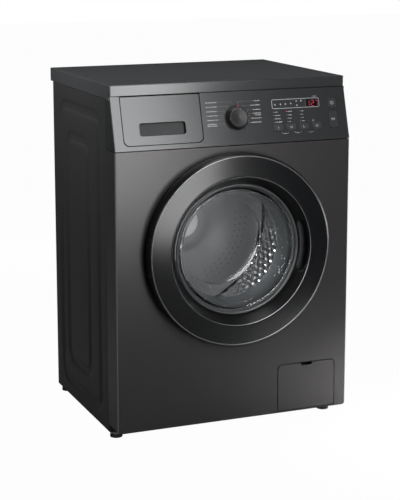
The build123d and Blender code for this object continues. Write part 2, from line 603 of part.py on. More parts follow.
with BuildPart() as door_inner_frame:
    with BuildSketch(DOOR_PLANE):
        Polygon(
            (INNER_FRAME_BORE, INNER_BACK_Y),
            (INNER_STEP_RADIUS, INNER_BACK_Y),
            (INNER_STEP_RADIUS + INNER_FRAME_WALL, DOOR_BACK_Y),
            (INNER_RIM_RADIUS, DOOR_BACK_Y),
            (INNER_RIM_RADIUS, INNER_RIM_Y),
            (INNER_STEP_RADIUS, INNER_RIM_Y),
            (INNER_STEP_RADIUS - INNER_FRAME_WALL, INNER_BACK_Y - INNER_FRAME_WALL),
            (INNER_FRAME_BORE + INNER_FRAME_WALL, INNER_BACK_Y - INNER_FRAME_WALL),
            (INNER_FRAME_BORE + INNER_FRAME_WALL, GLASS_BACK_Y),
            (INNER_FRAME_BORE, GLASS_BACK_Y),
            align=None,
        )
    revolve(axis=DOOR_AXIS)
    with BuildSketch(front_plane(INNER_BACK_Y - INNER_FRAME_WALL)):
        with Locations((HINGE_X, DOOR_Z)):
            Rectangle(HINGE_BLOCK, 2 * HINGE_BLOCK_HALF)
        with Locations((LATCH_X, DOOR_Z)):
            Rectangle(LATCH_BLOCK_WIDTH, LATCH_BLOCK_HEIGHT)
    extrude(amount=HINGE_LEAD - INNER_FRAME_GAP - INNER_FRAME_WALL + HINGE_BLOCK / 2)
    add(hinge_notches.part, mode=Mode.SUBTRACT)
    with BuildSketch(Plane.XY.offset(DOOR_Z - HINGE_BLOCK_HALF)):
        with Locations((HINGE_X, HINGE_Y)):
            Circle(HINGE_PIN_RADIUS + RUN_FIT / 2)
    extrude(amount=2 * HINGE_BLOCK_HALF, mode=Mode.SUBTRACT)
    with BuildSketch(Plane.XY.offset(DOOR_Z - LATCH_BLOCK_HEIGHT / 2)):
        with Locations((LATCH_X, LATCH_Y)):
            Circle(LATCH_PIN_RADIUS + RUN_FIT)
    extrude(amount=LATCH_BLOCK_HEIGHT, mode=Mode.SUBTRACT)
    with BuildSketch(front_plane(DOOR_FRONT_Y)):
        with Locations((LATCH_SLOT_X, DOOR_Z)):
            Rectangle(LATCH_SLOT_WIDTH, HOOK_THICKNESS + 2 * FIT)
    extrude(amount=-DOOR_PROUD, mode=Mode.SUBTRACT)
door_inner_frame.part.label = "door_inner_frame"
export_step(door_inner_frame.part, "parts/door_inner_frame.step")

# Hinge pin, held in the door's hinge block and turning in the bracket's lugs
HINGE_PIN_HALF = LUG_SPREAD + LUG_THICKNESS / 2
with BuildPart() as hinge_pin:
    with BuildSketch(Plane.XY.offset(DOOR_Z - HINGE_PIN_HALF)):
        with Locations((HINGE_X, HINGE_Y)):
            Circle(HINGE_PIN_RADIUS)
    extrude(amount=2 * HINGE_PIN_HALF)
hinge_pin.part.label = "hinge_pin"
export_step(hinge_pin.part, "parts/hinge_pin.step")

# Hinge bracket: a plate behind the front panel with two lugs that reach out through it
BRACKET_WIDTH = 40.0
BRACKET_MARGIN = 22.0
BRACKET_THICKNESS = 3.0
BRACKET_Y = PANEL_Y + SHEET
with BuildPart() as hinge_bracket:
    with BuildSketch(front_plane(BRACKET_Y)):
        with Locations((HINGE_X, DOOR_Z)):
            RectangleRounded(BRACKET_WIDTH, 2 * (LUG_SPREAD + BRACKET_MARGIN), BRACKET_THICKNESS)
    extrude(amount=-BRACKET_THICKNESS)
    for z in LUG_ZS:
        with BuildSketch(Plane.XY.offset(z - LUG_THICKNESS / 2)):
            with Locations((HINGE_X, BRACKET_Y)):
                Rectangle(LUG_WIDTH, BRACKET_Y - HINGE_Y, align=(Align.CENTER, Align.MAX))
            with Locations((HINGE_X, HINGE_Y)):
                Circle(LUG_WIDTH / 2)
                Circle(HINGE_PIN_RADIUS + RUN_FIT, mode=Mode.SUBTRACT)
        extrude(amount=LUG_THICKNESS)
hinge_bracket.part.label = "hinge_bracket"
export_step(hinge_bracket.part, "parts/hinge_bracket.step")

# Latch hook on its own trunnions, with a barb at its tip
with BuildPart() as latch_hook:
    with BuildSketch(Plane.XY.offset(DOOR_Z - HOOK_THICKNESS / 2)):
        with Locations((LATCH_X, LATCH_Y)):
            Circle(LATCH_PIN_RADIUS * 2)
            Rectangle(HOOK_ARM, HOOK_REACH, align=(Align.CENTER, Align.MIN))
            with Locations((HOOK_ARM / 2, HOOK_REACH)):
                Polygon((0, 0), (HOOK_BARB, -HOOK_BARB), (HOOK_BARB, -1.5 * HOOK_BARB), (0, -1.5 * HOOK_BARB),
                        align=None)
    extrude(amount=HOOK_THICKNESS)
    with BuildSketch(Plane.XY.offset(DOOR_Z - LATCH_BLOCK_HEIGHT / 2)):
        with Locations((LATCH_X, LATCH_Y)):
            Circle(LATCH_PIN_RADIUS)
    extrude(amount=LATCH_BLOCK_HEIGHT)
latch_hook.part.label = "latch_hook"
export_step(latch_hook.part, "parts/latch_hook.step")

# Door lock behind the panel, with a pocket for the hook
LOCK_WALL = 4.0
LOCK_DEPTH = 34.0
with BuildPart() as door_lock:
    with BuildSketch(front_plane(PANEL_Y + SHEET)):
        with Locations((LATCH_SLOT_X, DOOR_Z)):
            RectangleRounded(LATCH_SLOT_WIDTH + 2 * LOCK_WALL, LATCH_SLOT_HEIGHT * 2, LOCK_WALL)
    extrude(amount=-LOCK_DEPTH)
    with BuildSketch(front_plane(PANEL_Y + SHEET)):
        with Locations((LATCH_SLOT_X, DOOR_Z)):
            Rectangle(LATCH_SLOT_WIDTH, LATCH_SLOT_HEIGHT)
    extrude(amount=-(LOCK_DEPTH - LOCK_WALL), mode=Mode.SUBTRACT)
door_lock.part.label = "door_lock"
export_step(door_lock.part, "parts/door_lock.step")

# Door glass: a moulded bowl with a clamped flange
GLASS_WALL = 5.0
BOWL_LAP = 12.0
BOWL_NECK_DRAFT = 7.0
BOWL_FOOT_DRAFT = 27.0
BOWL_MOUTH = GLASS_SEAT_RADIUS - BOWL_LAP
BOWL_NECK = BOWL_MOUTH - BOWL_NECK_DRAFT
BOWL_FOOT = BOWL_NECK - BOWL_FOOT_DRAFT
BOWL_NECK_REACH = 28.0
BOWL_FOOT_REACH = 100.0
BOWL_CROWN = 9.0
GLASS_RADIUS = GLASS_SEAT_RADIUS - FIT
GLASS_FRONT_Y = GLASS_BACK_Y - GLASS_FLANGE
NECK_Y = PANEL_Y + BOWL_NECK_REACH
FOOT_Y = PANEL_Y + BOWL_FOOT_REACH
CROWN_Y = FOOT_Y + BOWL_CROWN
with BuildPart() as door_glass:
    with BuildSketch(DOOR_PLANE):
        with BuildLine():
            inner_foot = (BOWL_FOOT - GLASS_WALL, FOOT_Y - GLASS_WALL)
            Line((0, CROWN_Y), (0, CROWN_Y - GLASS_WALL))
            TangentArc((0, CROWN_Y - GLASS_WALL), inner_foot, tangent=(1, 0))
            Polyline(
                inner_foot,
                (BOWL_NECK - GLASS_WALL, NECK_Y),
                (BOWL_MOUTH - GLASS_WALL, GLASS_FRONT_Y),
                (GLASS_RADIUS, GLASS_FRONT_Y),
                (GLASS_RADIUS, GLASS_BACK_Y),
                (BOWL_MOUTH, GLASS_BACK_Y),
                (BOWL_NECK, NECK_Y),
                (BOWL_FOOT, FOOT_Y),
            )
            TangentArc((0, CROWN_Y), (BOWL_FOOT, FOOT_Y), tangent=(1, 0))
        make_face()
    revolve(axis=DOOR_AXIS)
door_glass.part.label = "door_glass"
export_step(door_glass.part, "parts/door_glass.step")

# Bright rim that covers the glass edge
RIM_WIDTH = 6.0
RIM_HEIGHT = 4.0
with BuildPart() as glass_rim:
    with BuildSketch(DOOR_PLANE):
        with BuildLine():
            rim_out = (GLASS_SEAT_RADIUS - FIT, GLASS_FRONT_Y)
            rim_in = (GLASS_SEAT_RADIUS - FIT - RIM_WIDTH, GLASS_FRONT_Y)
            rim_top = (GLASS_SEAT_RADIUS - FIT - RIM_WIDTH / 2, GLASS_FRONT_Y - RIM_HEIGHT)
            ThreePointArc(rim_in, rim_top, rim_out)
            Line(rim_out, rim_in)
        make_face()
    revolve(axis=DOOR_AXIS)
glass_rim.part.label = "glass_rim"
export_step(glass_rim.part, "parts/glass_rim.step")

# Washing group sizes along and round the drum's axis
TUB_SIDE_GAP = 41.0
TUB_RADIUS = SIDE_X - TUB_SIDE_GAP
TUB_WALL = 6.0
TUB_SETBACK = 5.0
TUB_REAR_DEPTH = 160.0
DRIVE_ROOM = 107.5
TUB_FLANGE = 10.0
TUB_FLANGE_WIDTH = 8.0
TUB_COLLAR_GAP = 10.0
TUB_COLLAR_RADIUS = MOUTH_RADIUS + TUB_COLLAR_GAP
TUB_COLLAR_WALL = 3.0
TUB_COLLAR_REACH = 18.0
DRUM_GAP = 20.0
DRUM_RADIUS = TUB_RADIUS - DRUM_GAP
DRUM_SHEET = 1.2
DRUM_SETBACK = 18.0
DRUM_BACK_ROOM = 26.0
DRUM_MOUTH_GAP = 2.0
DRUM_MOUTH = MOUTH_RADIUS + DRUM_MOUTH_GAP
DRUM_LIP = 6.0
HUB_RADIUS = 45.0
HUB_REACH = 48.0
SHAFT_RADIUS = 15.0
SHAFT_TAIL = 24.0
SHAFT_TAIL_RADIUS = 10.0
SHAFT_STEP = 1.0
BEARING_RADIUS = 31.0
BEARING_WIDTH = 16.0
BEARING_PITCH = 28.0
BEARING_INSET = 2.0

TUB_FRONT_Y = SEAM_Y + TUB_SETBACK
TUB_BACK_Y = REAR_Y - DRIVE_ROOM
TUB_DEPTH = TUB_BACK_Y - TUB_FRONT_Y
TUB_JOINT_Y = TUB_BACK_Y - TUB_REAR_DEPTH
TUB_FRONT_DEPTH = TUB_JOINT_Y - TUB_FRONT_Y
DRUM_FRONT_Y = TUB_FRONT_Y + DRUM_SETBACK
DRUM_BACK_Y = TUB_BACK_Y - TUB_WALL - DRUM_BACK_ROOM
DRUM_DEPTH = DRUM_BACK_Y - DRUM_FRONT_Y
HUB_END_Y = TUB_BACK_Y + HUB_REACH
SHAFT_END_Y = HUB_END_Y + SHAFT_TAIL
FRONT_BEARING_Y = TUB_BACK_Y + BEARING_INSET
REAR_BEARING_Y = FRONT_BEARING_Y + BEARING_PITCH

# Mouth gasket: a bellows from the panel's collar to the tub's collar
GASKET_WALL = 3.0
GASKET_FOLD_INSET = 19.5
GASKET_FOLD_RADIUS = MOUTH_RADIUS - GASKET_FOLD_INSET
GASKET_FOLD_LEAD = 30.0
GASKET_FOLD_HALF = 4.0
GASKET_LIP_LAP = 2.0
GASKET_BEND = 3.0
panel_sleeve = MOUTH_RADIUS - FIT - GASKET_WALL / 2
tub_sleeve = TUB_COLLAR_RADIUS - FIT - GASKET_WALL / 2
GASKET_FRONT_Y = PANEL_Y + SHEET
GASKET_FOLD_Y = PANEL_Y + GASKET_FOLD_LEAD
GASKET_BACK_Y = TUB_FRONT_Y - 2 * FIT
TUB_LIP_Y = TUB_FRONT_Y - TUB_COLLAR_REACH
with BuildPart() as gasket:
    with BuildSketch(DOOR_PLANE):
        with BuildLine() as bellows:
            FilletPolyline(
                (panel_sleeve, GASKET_FRONT_Y),
                (panel_sleeve, GASKET_FOLD_Y - 2 * GASKET_FOLD_HALF),
                (GASKET_FOLD_RADIUS, GASKET_FOLD_Y - GASKET_FOLD_HALF),
                (GASKET_FOLD_RADIUS, GASKET_FOLD_Y + GASKET_FOLD_HALF),
                (tub_sleeve, TUB_LIP_Y + GASKET_LIP_LAP),
                (tub_sleeve, GASKET_BACK_Y),
                radius=GASKET_BEND,
            )
            offset(amount=GASKET_WALL / 2, side=Side.BOTH, kind=Kind.ARC, mode=Mode.REPLACE)
        make_face()
    revolve(axis=DOOR_AXIS)
gasket.part.label = "gasket"
export_step(gasket.part, "parts/gasket.step")

# Clamp ring that ties the gasket down inside the tub's collar
CLAMP_WALL = 2.0
CLAMP_WIDTH = 8.0
with BuildPart() as gasket_clamp:
    with BuildSketch(DOOR_PLANE):
        clamp_y = GASKET_BACK_Y - CLAMP_WIDTH
        clamp_radius = TUB_COLLAR_RADIUS - 2 * FIT - GASKET_WALL - CLAMP_WALL
        with Locations((clamp_radius, clamp_y)):
            Rectangle(CLAMP_WALL, CLAMP_WIDTH, align=(Align.MIN, Align.MIN))
    revolve(axis=DOOR_AXIS)
gasket_clamp.part.label = "gasket_clamp"
export_step(gasket_clamp.part, "parts/gasket_clamp.step")

# Tub: two moulded halves bolted at a flange, the front one with the mouth collar
FILL_OFFSET, FILL_SETBACK = 0.5, 98.0
FILL_X, FILL_Y = DRAWER_X - FILL_OFFSET, TUB_FRONT_Y + FILL_SETBACK
FILL_RADIUS = 20.0
FILTER_OFFSET_X, FILTER_OFFSET_Z = 3.6, 1.6
FILTER_X, FILTER_Z = COVER_X + FILTER_OFFSET_X, COVER_Z + FILTER_OFFSET_Z
SUMP_OFFSET, SUMP_SETBACK = 75.0, 33.0
SUMP_X, SUMP_Y = FILTER_X - SUMP_OFFSET, TUB_FRONT_Y + SUMP_SETBACK
SUMP_RADIUS = 16.0
SPOUT_REACH = 60.0
SPOUT_STAND = 26.0
FILL_SPOUT_Z = DOOR_Z + sqrt(TUB_RADIUS**2 - FILL_X**2) + SPOUT_STAND
SUMP_SPOUT_Z = DOOR_Z - sqrt(TUB_RADIUS**2 - SUMP_X**2) - SPOUT_STAND / 2
with BuildPart() as tub_front:
    with BuildSketch(DOOR_PLANE):
        Polygon(
            (TUB_COLLAR_RADIUS, TUB_LIP_Y),
            (TUB_COLLAR_RADIUS + TUB_COLLAR_WALL, TUB_LIP_Y),
            (TUB_COLLAR_RADIUS + TUB_COLLAR_WALL, TUB_FRONT_Y),
            (TUB_RADIUS, TUB_FRONT_Y),
            (TUB_RADIUS, TUB_JOINT_Y - TUB_FLANGE_WIDTH),
            (TUB_RADIUS + TUB_FLANGE, TUB_JOINT_Y - TUB_FLANGE_WIDTH),
            (TUB_RADIUS + TUB_FLANGE, TUB_JOINT_Y),
            (TUB_RADIUS - TUB_WALL, TUB_JOINT_Y),
            (TUB_RADIUS - TUB_WALL, TUB_FRONT_Y + TUB_WALL),
            (TUB_COLLAR_RADIUS, TUB_FRONT_Y + TUB_WALL),
            align=None,
        )
    revolve(axis=DOOR_AXIS)
    # Spouts for the fill hose above and the sump hose below, cleared inside the tub
    with BuildSketch(Plane.XY.offset(FILL_SPOUT_Z)):
        with Locations((FILL_X, FILL_Y)):
            Circle(FILL_RADIUS)
    extrude(amount=-SPOUT_REACH)
    with BuildSketch(Plane.XY.offset(SUMP_SPOUT_Z)):
        with Locations((SUMP_X, SUMP_Y)):
            Circle(SUMP_RADIUS)
    extrude(amount=SPOUT_REACH)
    with BuildSketch(front_plane(TUB_JOINT_Y)):
        with Locations((0, DOOR_Z)):
            Circle(TUB_RADIUS - TUB_WALL)
    extrude(amount=TUB_FRONT_DEPTH - TUB_WALL, mode=Mode.SUBTRACT)
tub_front.part.label = "tub_front"
export_step(tub_front.part, "parts/tub_front.step")

SPRING_INSET, SPRING_LEAD = 60.0, 55.0
SPRING_X, SPRING_Y = TUB_RADIUS - SPRING_INSET, TUB_BACK_Y - SPRING_LEAD
DAMPER_INSET = 91.0
DAMPER_TOP_X = TUB_RADIUS - DAMPER_INSET
DAMPER_Y = BASE_MID_Y + CROSS_RAIL_SPAN / 2
TUB_LUG = 22.0
SPRING_LUG_Z = DOOR_Z + sqrt(TUB_RADIUS**2 - SPRING_X**2)
DAMPER_LUG_Z = DOOR_Z - sqrt(TUB_RADIUS**2 - DAMPER_TOP_X**2)
HEATER_HALF = 25.0
HEATER_ROD = 3.5
HEATER_DROP = 6.5
HEATER_Z = DOOR_Z - DRUM_RADIUS - HEATER_DROP
TUB_RIB_COUNT = 8
TUB_RIB_HEIGHT = 16.0
TUB_RIB_WALL = 4.0
TUB_RIB_MID = (HUB_RADIUS + TUB_RADIUS) / 2 - TUB_RIB_WALL
SEAL_WIDTH = 8.0
with BuildPart() as tub_rear:
    with BuildSketch(DOOR_PLANE):
        Polygon(
            (TUB_RADIUS - TUB_WALL, TUB_JOINT_Y),
            (TUB_RADIUS + TUB_FLANGE, TUB_JOINT_Y),
            (TUB_RADIUS + TUB_FLANGE, TUB_JOINT_Y + TUB_FLANGE_WIDTH),
            (TUB_RADIUS, TUB_JOINT_Y + TUB_FLANGE_WIDTH),
            (TUB_RADIUS, TUB_BACK_Y),
            (HUB_RADIUS, TUB_BACK_Y),
            (HUB_RADIUS, HUB_END_Y),
            (BEARING_RADIUS, HUB_END_Y),
            (BEARING_RADIUS, TUB_BACK_Y - TUB_WALL),
            (TUB_RADIUS - TUB_WALL, TUB_BACK_Y - TUB_WALL),
            align=None,
        )
    revolve(axis=DOOR_AXIS)
    # Stiffening ribs fan out from the hub
    with BuildSketch(front_plane(TUB_BACK_Y + TUB_RIB_HEIGHT)):
        with Locations((0, DOOR_Z)):
            with PolarLocations(TUB_RIB_MID, TUB_RIB_COUNT, 180 / TUB_RIB_COUNT):
                Rectangle(TUB_RADIUS - HUB_RADIUS, TUB_RIB_WALL)
    extrude(amount=TUB_RIB_HEIGHT)
    # Lugs for the springs above and the dampers below
    for lug_x, lug_y, lug_z in (
        (SPRING_X, SPRING_Y, SPRING_LUG_Z),
        (DAMPER_TOP_X, DAMPER_Y, DAMPER_LUG_Z),
    ):
        with BuildSketch(front_plane(lug_y - TUB_LUG / 2)):
            with Locations((-lug_x, lug_z), (lug_x, lug_z)):
                Rectangle(TUB_LUG, 2 * TUB_LUG)
            with Locations((0, DOOR_Z)):
                Circle(TUB_RADIUS - TUB_WALL / 2, mode=Mode.SUBTRACT)
        extrude(amount=-TUB_LUG)
    # Port for the heater
    with BuildSketch(front_plane(TUB_BACK_Y)):
        with Locations((0, HEATER_Z)):
            Rectangle(2 * (HEATER_HALF + HEATER_ROD + FIT), 3 * HEATER_ROD)
    extrude(amount=TUB_WALL, mode=Mode.SUBTRACT)
tub_rear.part.label = "tub_rear"
export_step(tub_rear.part, "parts/tub_rear.step")

# Bearings and shaft seal in the hub
with BuildPart() as hub_bearings:
    with BuildSketch(DOOR_PLANE):
        for ring_y, ring_width in (
            (FRONT_BEARING_Y, BEARING_WIDTH),
            (REAR_BEARING_Y, BEARING_WIDTH),
            (FRONT_BEARING_Y - FIT - SEAL_WIDTH, SEAL_WIDTH),
        ):
            with Locations((SHAFT_RADIUS + RUN_FIT, ring_y)):
                Rectangle(BEARING_RADIUS - SHAFT_RADIUS - RUN_FIT, ring_width, align=(Align.MIN, Align.MIN))
    revolve(axis=DOOR_AXIS)
hub_bearings.part.label = "hub_bearings"
export_step(hub_bearings.part, "parts/hub_bearings.step")

# Drum: a stainless shell with a turned lip, a dished back, three lifters, a cast spider and its
# shaft
with BuildPart() as drum_shell:
    with BuildSketch(DOOR_PLANE):
        Polygon(
            (DRUM_MOUTH, DRUM_FRONT_Y - DRUM_LIP),
            (DRUM_MOUTH + DRUM_SHEET, DRUM_FRONT_Y - DRUM_LIP),
            (DRUM_MOUTH + DRUM_SHEET, DRUM_FRONT_Y),
            (DRUM_RADIUS, DRUM_FRONT_Y),
            (DRUM_RADIUS, DRUM_BACK_Y),
            (DRUM_RADIUS - DRUM_SHEET, DRUM_BACK_Y),
            (DRUM_RADIUS - DRUM_SHEET, DRUM_FRONT_Y + DRUM_SHEET),
            (DRUM_MOUTH, DRUM_FRONT_Y + DRUM_SHEET),
            align=None,
        )
    revolve(axis=DOOR_AXIS)
drum_shell.part.label = "drum_shell"
export_step(drum_shell.part, "parts/drum_shell.step")

DISH_DEPTH = 10.0
DISH_RADIUS = 60.0
DISH_SLOPE = 20.0
BACK_SHEET = 2.0
DISH_Y = DRUM_BACK_Y - DISH_DEPTH
with BuildPart() as drum_back:
    with BuildSketch(DOOR_PLANE):
        Polygon(
            (0, DISH_Y),
            (DISH_RADIUS, DISH_Y),
            (DISH_RADIUS + DISH_SLOPE, DRUM_BACK_Y),
            (DRUM_RADIUS - DRUM_SHEET, DRUM_BACK_Y),
            (DRUM_RADIUS - DRUM_SHEET, DRUM_BACK_Y - BACK_SHEET),
            (DISH_RADIUS + DISH_SLOPE, DRUM_BACK_Y - BACK_SHEET),
            (DISH_RADIUS, DISH_Y - BACK_SHEET),
            (0, DISH_Y - BACK_SHEET),
            align=None,
        )
    revolve(axis=DOOR_AXIS)
drum_back.part.label = "drum_back"
export_step(drum_back.part, "parts/drum_back.step")

LIFTER_COUNT = 3
LIFTER_HEIGHT = 44.0
LIFTER_FOOT = 56.0
LIFTER_CREST = 18.0
LIFTER_START_ANGLE = 90.0
LIFTER_END_GAP = 14.0
LIFTER_DRAFT = 16.0
LIFTER_LENGTH = DRUM_DEPTH - 2 * LIFTER_END_GAP
LIFTER_TAPER = degrees(atan2(LIFTER_DRAFT, LIFTER_LENGTH))
LIFTER_SEAT = sqrt((DRUM_RADIUS - DRUM_SHEET - FIT / 2) ** 2 - (LIFTER_FOOT / 2) ** 2)
with BuildPart() as drum_lifters:
    with BuildSketch(front_plane(DRUM_FRONT_Y + LIFTER_END_GAP)):
        with Locations((0, DOOR_Z)):
            with PolarLocations(LIFTER_SEAT, LIFTER_COUNT, LIFTER_START_ANGLE):
                Polygon(
                    (0, -LIFTER_FOOT / 2),
                    (0, LIFTER_FOOT / 2),
                    (-LIFTER_HEIGHT, LIFTER_CREST / 2),
                    (-LIFTER_HEIGHT, -LIFTER_CREST / 2),
                    align=None,
                )
    extrude(amount=-LIFTER_LENGTH, taper=LIFTER_TAPER)
drum_lifters.part.label = "drum_lifters"
export_step(drum_lifters.part, "parts/drum_lifters.step")

SPIDER_ARMS = 3
SPIDER_HUB_RADIUS = 40.0
SPIDER_TIP_GAP = 10.0
SPIDER_HUB_GAP = 4.0
SPIDER_ARM_REACH = DRUM_RADIUS - SPIDER_TIP_GAP
SPIDER_ARM_WIDTH = 40.0
SPIDER_TIP_WIDTH = 24.0
SPIDER_ARM_DEPTH = 12.0
SPIDER_HUB_END_Y = TUB_BACK_Y - TUB_WALL - SPIDER_HUB_GAP
with BuildPart() as drum_spider:
    with BuildSketch(front_plane(DRUM_BACK_Y)):
        with Locations((0, DOOR_Z)):
            Circle(SPIDER_HUB_RADIUS)
            with PolarLocations(0, SPIDER_ARMS, LIFTER_START_ANGLE):
                Polygon(
                    (0, -SPIDER_ARM_WIDTH / 2),
                    (SPIDER_ARM_REACH, -SPIDER_TIP_WIDTH / 2),
                    (SPIDER_ARM_REACH, SPIDER_TIP_WIDTH / 2),
                    (0, SPIDER_ARM_WIDTH / 2),
                    align=None,
                )
    extrude(amount=-SPIDER_ARM_DEPTH)
    with BuildSketch(front_plane(DISH_Y)):
        with Locations((0, DOOR_Z)):
            Circle(SPIDER_HUB_RADIUS)
    extrude(amount=-(SPIDER_HUB_END_Y - DISH_Y))
    with BuildSketch(front_plane(DISH_Y)):
        with Locations((0, DOOR_Z)):
            Circle(SHAFT_RADIUS + RUN_FIT / 2)
    extrude(amount=-(SPIDER_HUB_END_Y - DISH_Y), mode=Mode.SUBTRACT)
drum_spider.part.label = "drum_spider"
export_step(drum_spider.part, "parts/drum_spider.step")

with BuildPart() as drum_shaft:
    with BuildSketch(DOOR_PLANE):
        Polygon(
            (0, DISH_Y),
            (SHAFT_RADIUS, DISH_Y),
            (SHAFT_RADIUS, HUB_END_Y + SHAFT_STEP),
            (SHAFT_TAIL_RADIUS, HUB_END_Y + SHAFT_STEP),
            (SHAFT_TAIL_RADIUS, SHAFT_END_Y),
            (0, SHAFT_END_Y),
            align=None,
        )
    revolve(axis=DOOR_AXIS)
drum_shaft.part.label = "drum_shaft"
export_step(drum_shaft.part, "parts/drum_shaft.step")

# Drive: spoked pulley on the shaft, motor under the tub with a small pulley, and the belt
PULLEY_RADIUS = 150.0
PULLEY_RIM = 8.0
PULLEY_WIDTH = 14.0
PULLEY_SPOKES = 5
PULLEY_SPOKE_WIDTH = 18.0
PULLEY_HUB_RADIUS = 24.0
PULLEY_GAP = 3.0
PULLEY_Y = HUB_END_Y + PULLEY_GAP
MOTOR_INSET = 161.0
MOTOR_SCALE = 4.23
MOTOR_LIFT_SHARE = 0.54
MOTOR_X = MOTOR_INSET - TUB_RADIUS
MOTOR_ROOM = DOOR_Z - sqrt(TUB_RADIUS**2 - MOTOR_X**2) - PANEL_BOTTOM_Z
MOTOR_Z = PANEL_BOTTOM_Z + MOTOR_ROOM * MOTOR_LIFT_SHARE
MOTOR_RADIUS = MOTOR_SCALE * sqrt(MOTOR_ROOM)
MOTOR_LENGTH = 140.0
MOTOR_PULLEY_RADIUS = 12.0
MOTOR_SHAFT_RADIUS = 7.0
MOTOR_SHAFT_SEAT = 40.0
MOTOR_HANGER = 46.0
BELT_THICKNESS = 3.0
BELT_WIDTH = 10.0
MOTOR_BACK_Y = PULLEY_Y - PULLEY_GAP
with BuildPart() as drum_pulley:
    with BuildSketch(front_plane(PULLEY_Y)):
        with Locations((0, DOOR_Z)):
            Circle(PULLEY_RADIUS)
            Circle(PULLEY_RADIUS - PULLEY_RIM, mode=Mode.SUBTRACT)
            Circle(PULLEY_HUB_RADIUS)
            with PolarLocations(PULLEY_HUB_RADIUS / 2, PULLEY_SPOKES, LIFTER_START_ANGLE):
                Rectangle(PULLEY_RADIUS - PULLEY_HUB_RADIUS / 2 - PULLEY_RIM / 2, PULLEY_SPOKE_WIDTH,
                          align=(Align.MIN, Align.CENTER))
            Circle(SHAFT_TAIL_RADIUS + RUN_FIT / 2, mode=Mode.SUBTRACT)
    extrude(amount=-PULLEY_WIDTH)
drum_pulley.part.label = "drum_pulley"
export_step(drum_pulley.part, "parts/drum_pulley.step")

with BuildPart() as motor:
    with BuildSketch(front_plane(MOTOR_BACK_Y - MOTOR_LENGTH)):
        with Locations((MOTOR_X, MOTOR_Z)):
            Circle(MOTOR_RADIUS)
    extrude(amount=-MOTOR_LENGTH)
    fillet(motor.edges().filter_by(GeomType.CIRCLE), radius=MOTOR_RADIUS / 8)
    with BuildSketch(front_plane(TUB_BACK_Y - MOTOR_LENGTH / 2)):
        with Locations((MOTOR_X, MOTOR_Z)):
            Rectangle(MOTOR_HANGER, DOOR_Z - MOTOR_Z, align=(Align.CENTER, Align.MIN))
        with Locations((0, DOOR_Z)):
            Circle(TUB_RADIUS + FIT, mode=Mode.SUBTRACT)
    extrude(amount=-MOTOR_LENGTH / 2)
    with BuildSketch(front_plane(MOTOR_BACK_Y)):
        with Locations((MOTOR_X, MOTOR_Z)):
            Circle(MOTOR_SHAFT_RADIUS + RUN_FIT)
    extrude(amount=MOTOR_SHAFT_SEAT + FIT, mode=Mode.SUBTRACT)
motor.part.label = "motor"
export_step(motor.part, "parts/motor.step")

with BuildPart() as motor_pulley:
    with BuildSketch(front_plane(PULLEY_Y)):
        with Locations((MOTOR_X, MOTOR_Z)):
            Circle(MOTOR_PULLEY_RADIUS)
    extrude(amount=-PULLEY_WIDTH)
    with BuildSketch(front_plane(MOTOR_BACK_Y - MOTOR_SHAFT_SEAT)):
        with Locations((MOTOR_X, MOTOR_Z)):
            Circle(MOTOR_SHAFT_RADIUS)
    extrude(amount=-(MOTOR_SHAFT_SEAT + PULLEY_GAP))
motor_pulley.part.label = "motor_pulley"
export_step(motor_pulley.part, "parts/motor_pulley.step")

with BuildPart() as drive_belt:
    with BuildSketch(front_plane(PULLEY_Y + (PULLEY_WIDTH - BELT_WIDTH) / 2)):
        for grow, mode in ((FIT + BELT_THICKNESS, Mode.ADD), (FIT, Mode.SUBTRACT)):
            with BuildSketch(Plane.XY, mode=mode) as belt_loop:
                with Locations((0, DOOR_Z)):
                    Circle(PULLEY_RADIUS + grow)
                with Locations((MOTOR_X, MOTOR_Z)):
                    Circle(MOTOR_PULLEY_RADIUS + grow)
                make_hull()
    extrude(amount=-BELT_WIDTH)
drive_belt.part.label = "drive_belt"
export_step(drive_belt.part, "parts/drive_belt.step")

# Heater: a bent rod in the tub's foot, on a flange at the back
HEATER_END_GAP = 118.0
HEATER_REACH = TUB_DEPTH - HEATER_END_GAP
HEATER_FLANGE = 4.0
with BuildPart() as heater:
    bend_y = TUB_BACK_Y - HEATER_REACH
    with BuildLine(Plane.XY.offset(HEATER_Z)) as heater_path:
        Line((HEATER_HALF, TUB_BACK_Y), (HEATER_HALF, bend_y))
        ThreePointArc((HEATER_HALF, bend_y), (0, bend_y - HEATER_HALF), (-HEATER_HALF, bend_y))
        Line((-HEATER_HALF, bend_y), (-HEATER_HALF, TUB_BACK_Y))
    with BuildSketch(front_plane(TUB_BACK_Y)):
        with Locations((HEATER_HALF, HEATER_Z)):
            Circle(HEATER_ROD)
    sweep(path=heater_path.wires()[0])
    with BuildSketch(front_plane(TUB_BACK_Y)):
        with Locations((0, HEATER_Z)):
            RectangleRounded(2 * (HEATER_HALF + 3 * HEATER_ROD), 4 * HEATER_ROD, HEATER_ROD)
    extrude(amount=-HEATER_FLANGE)
heater.part.label = "heater"
export_step(heater.part, "parts/heater.step")

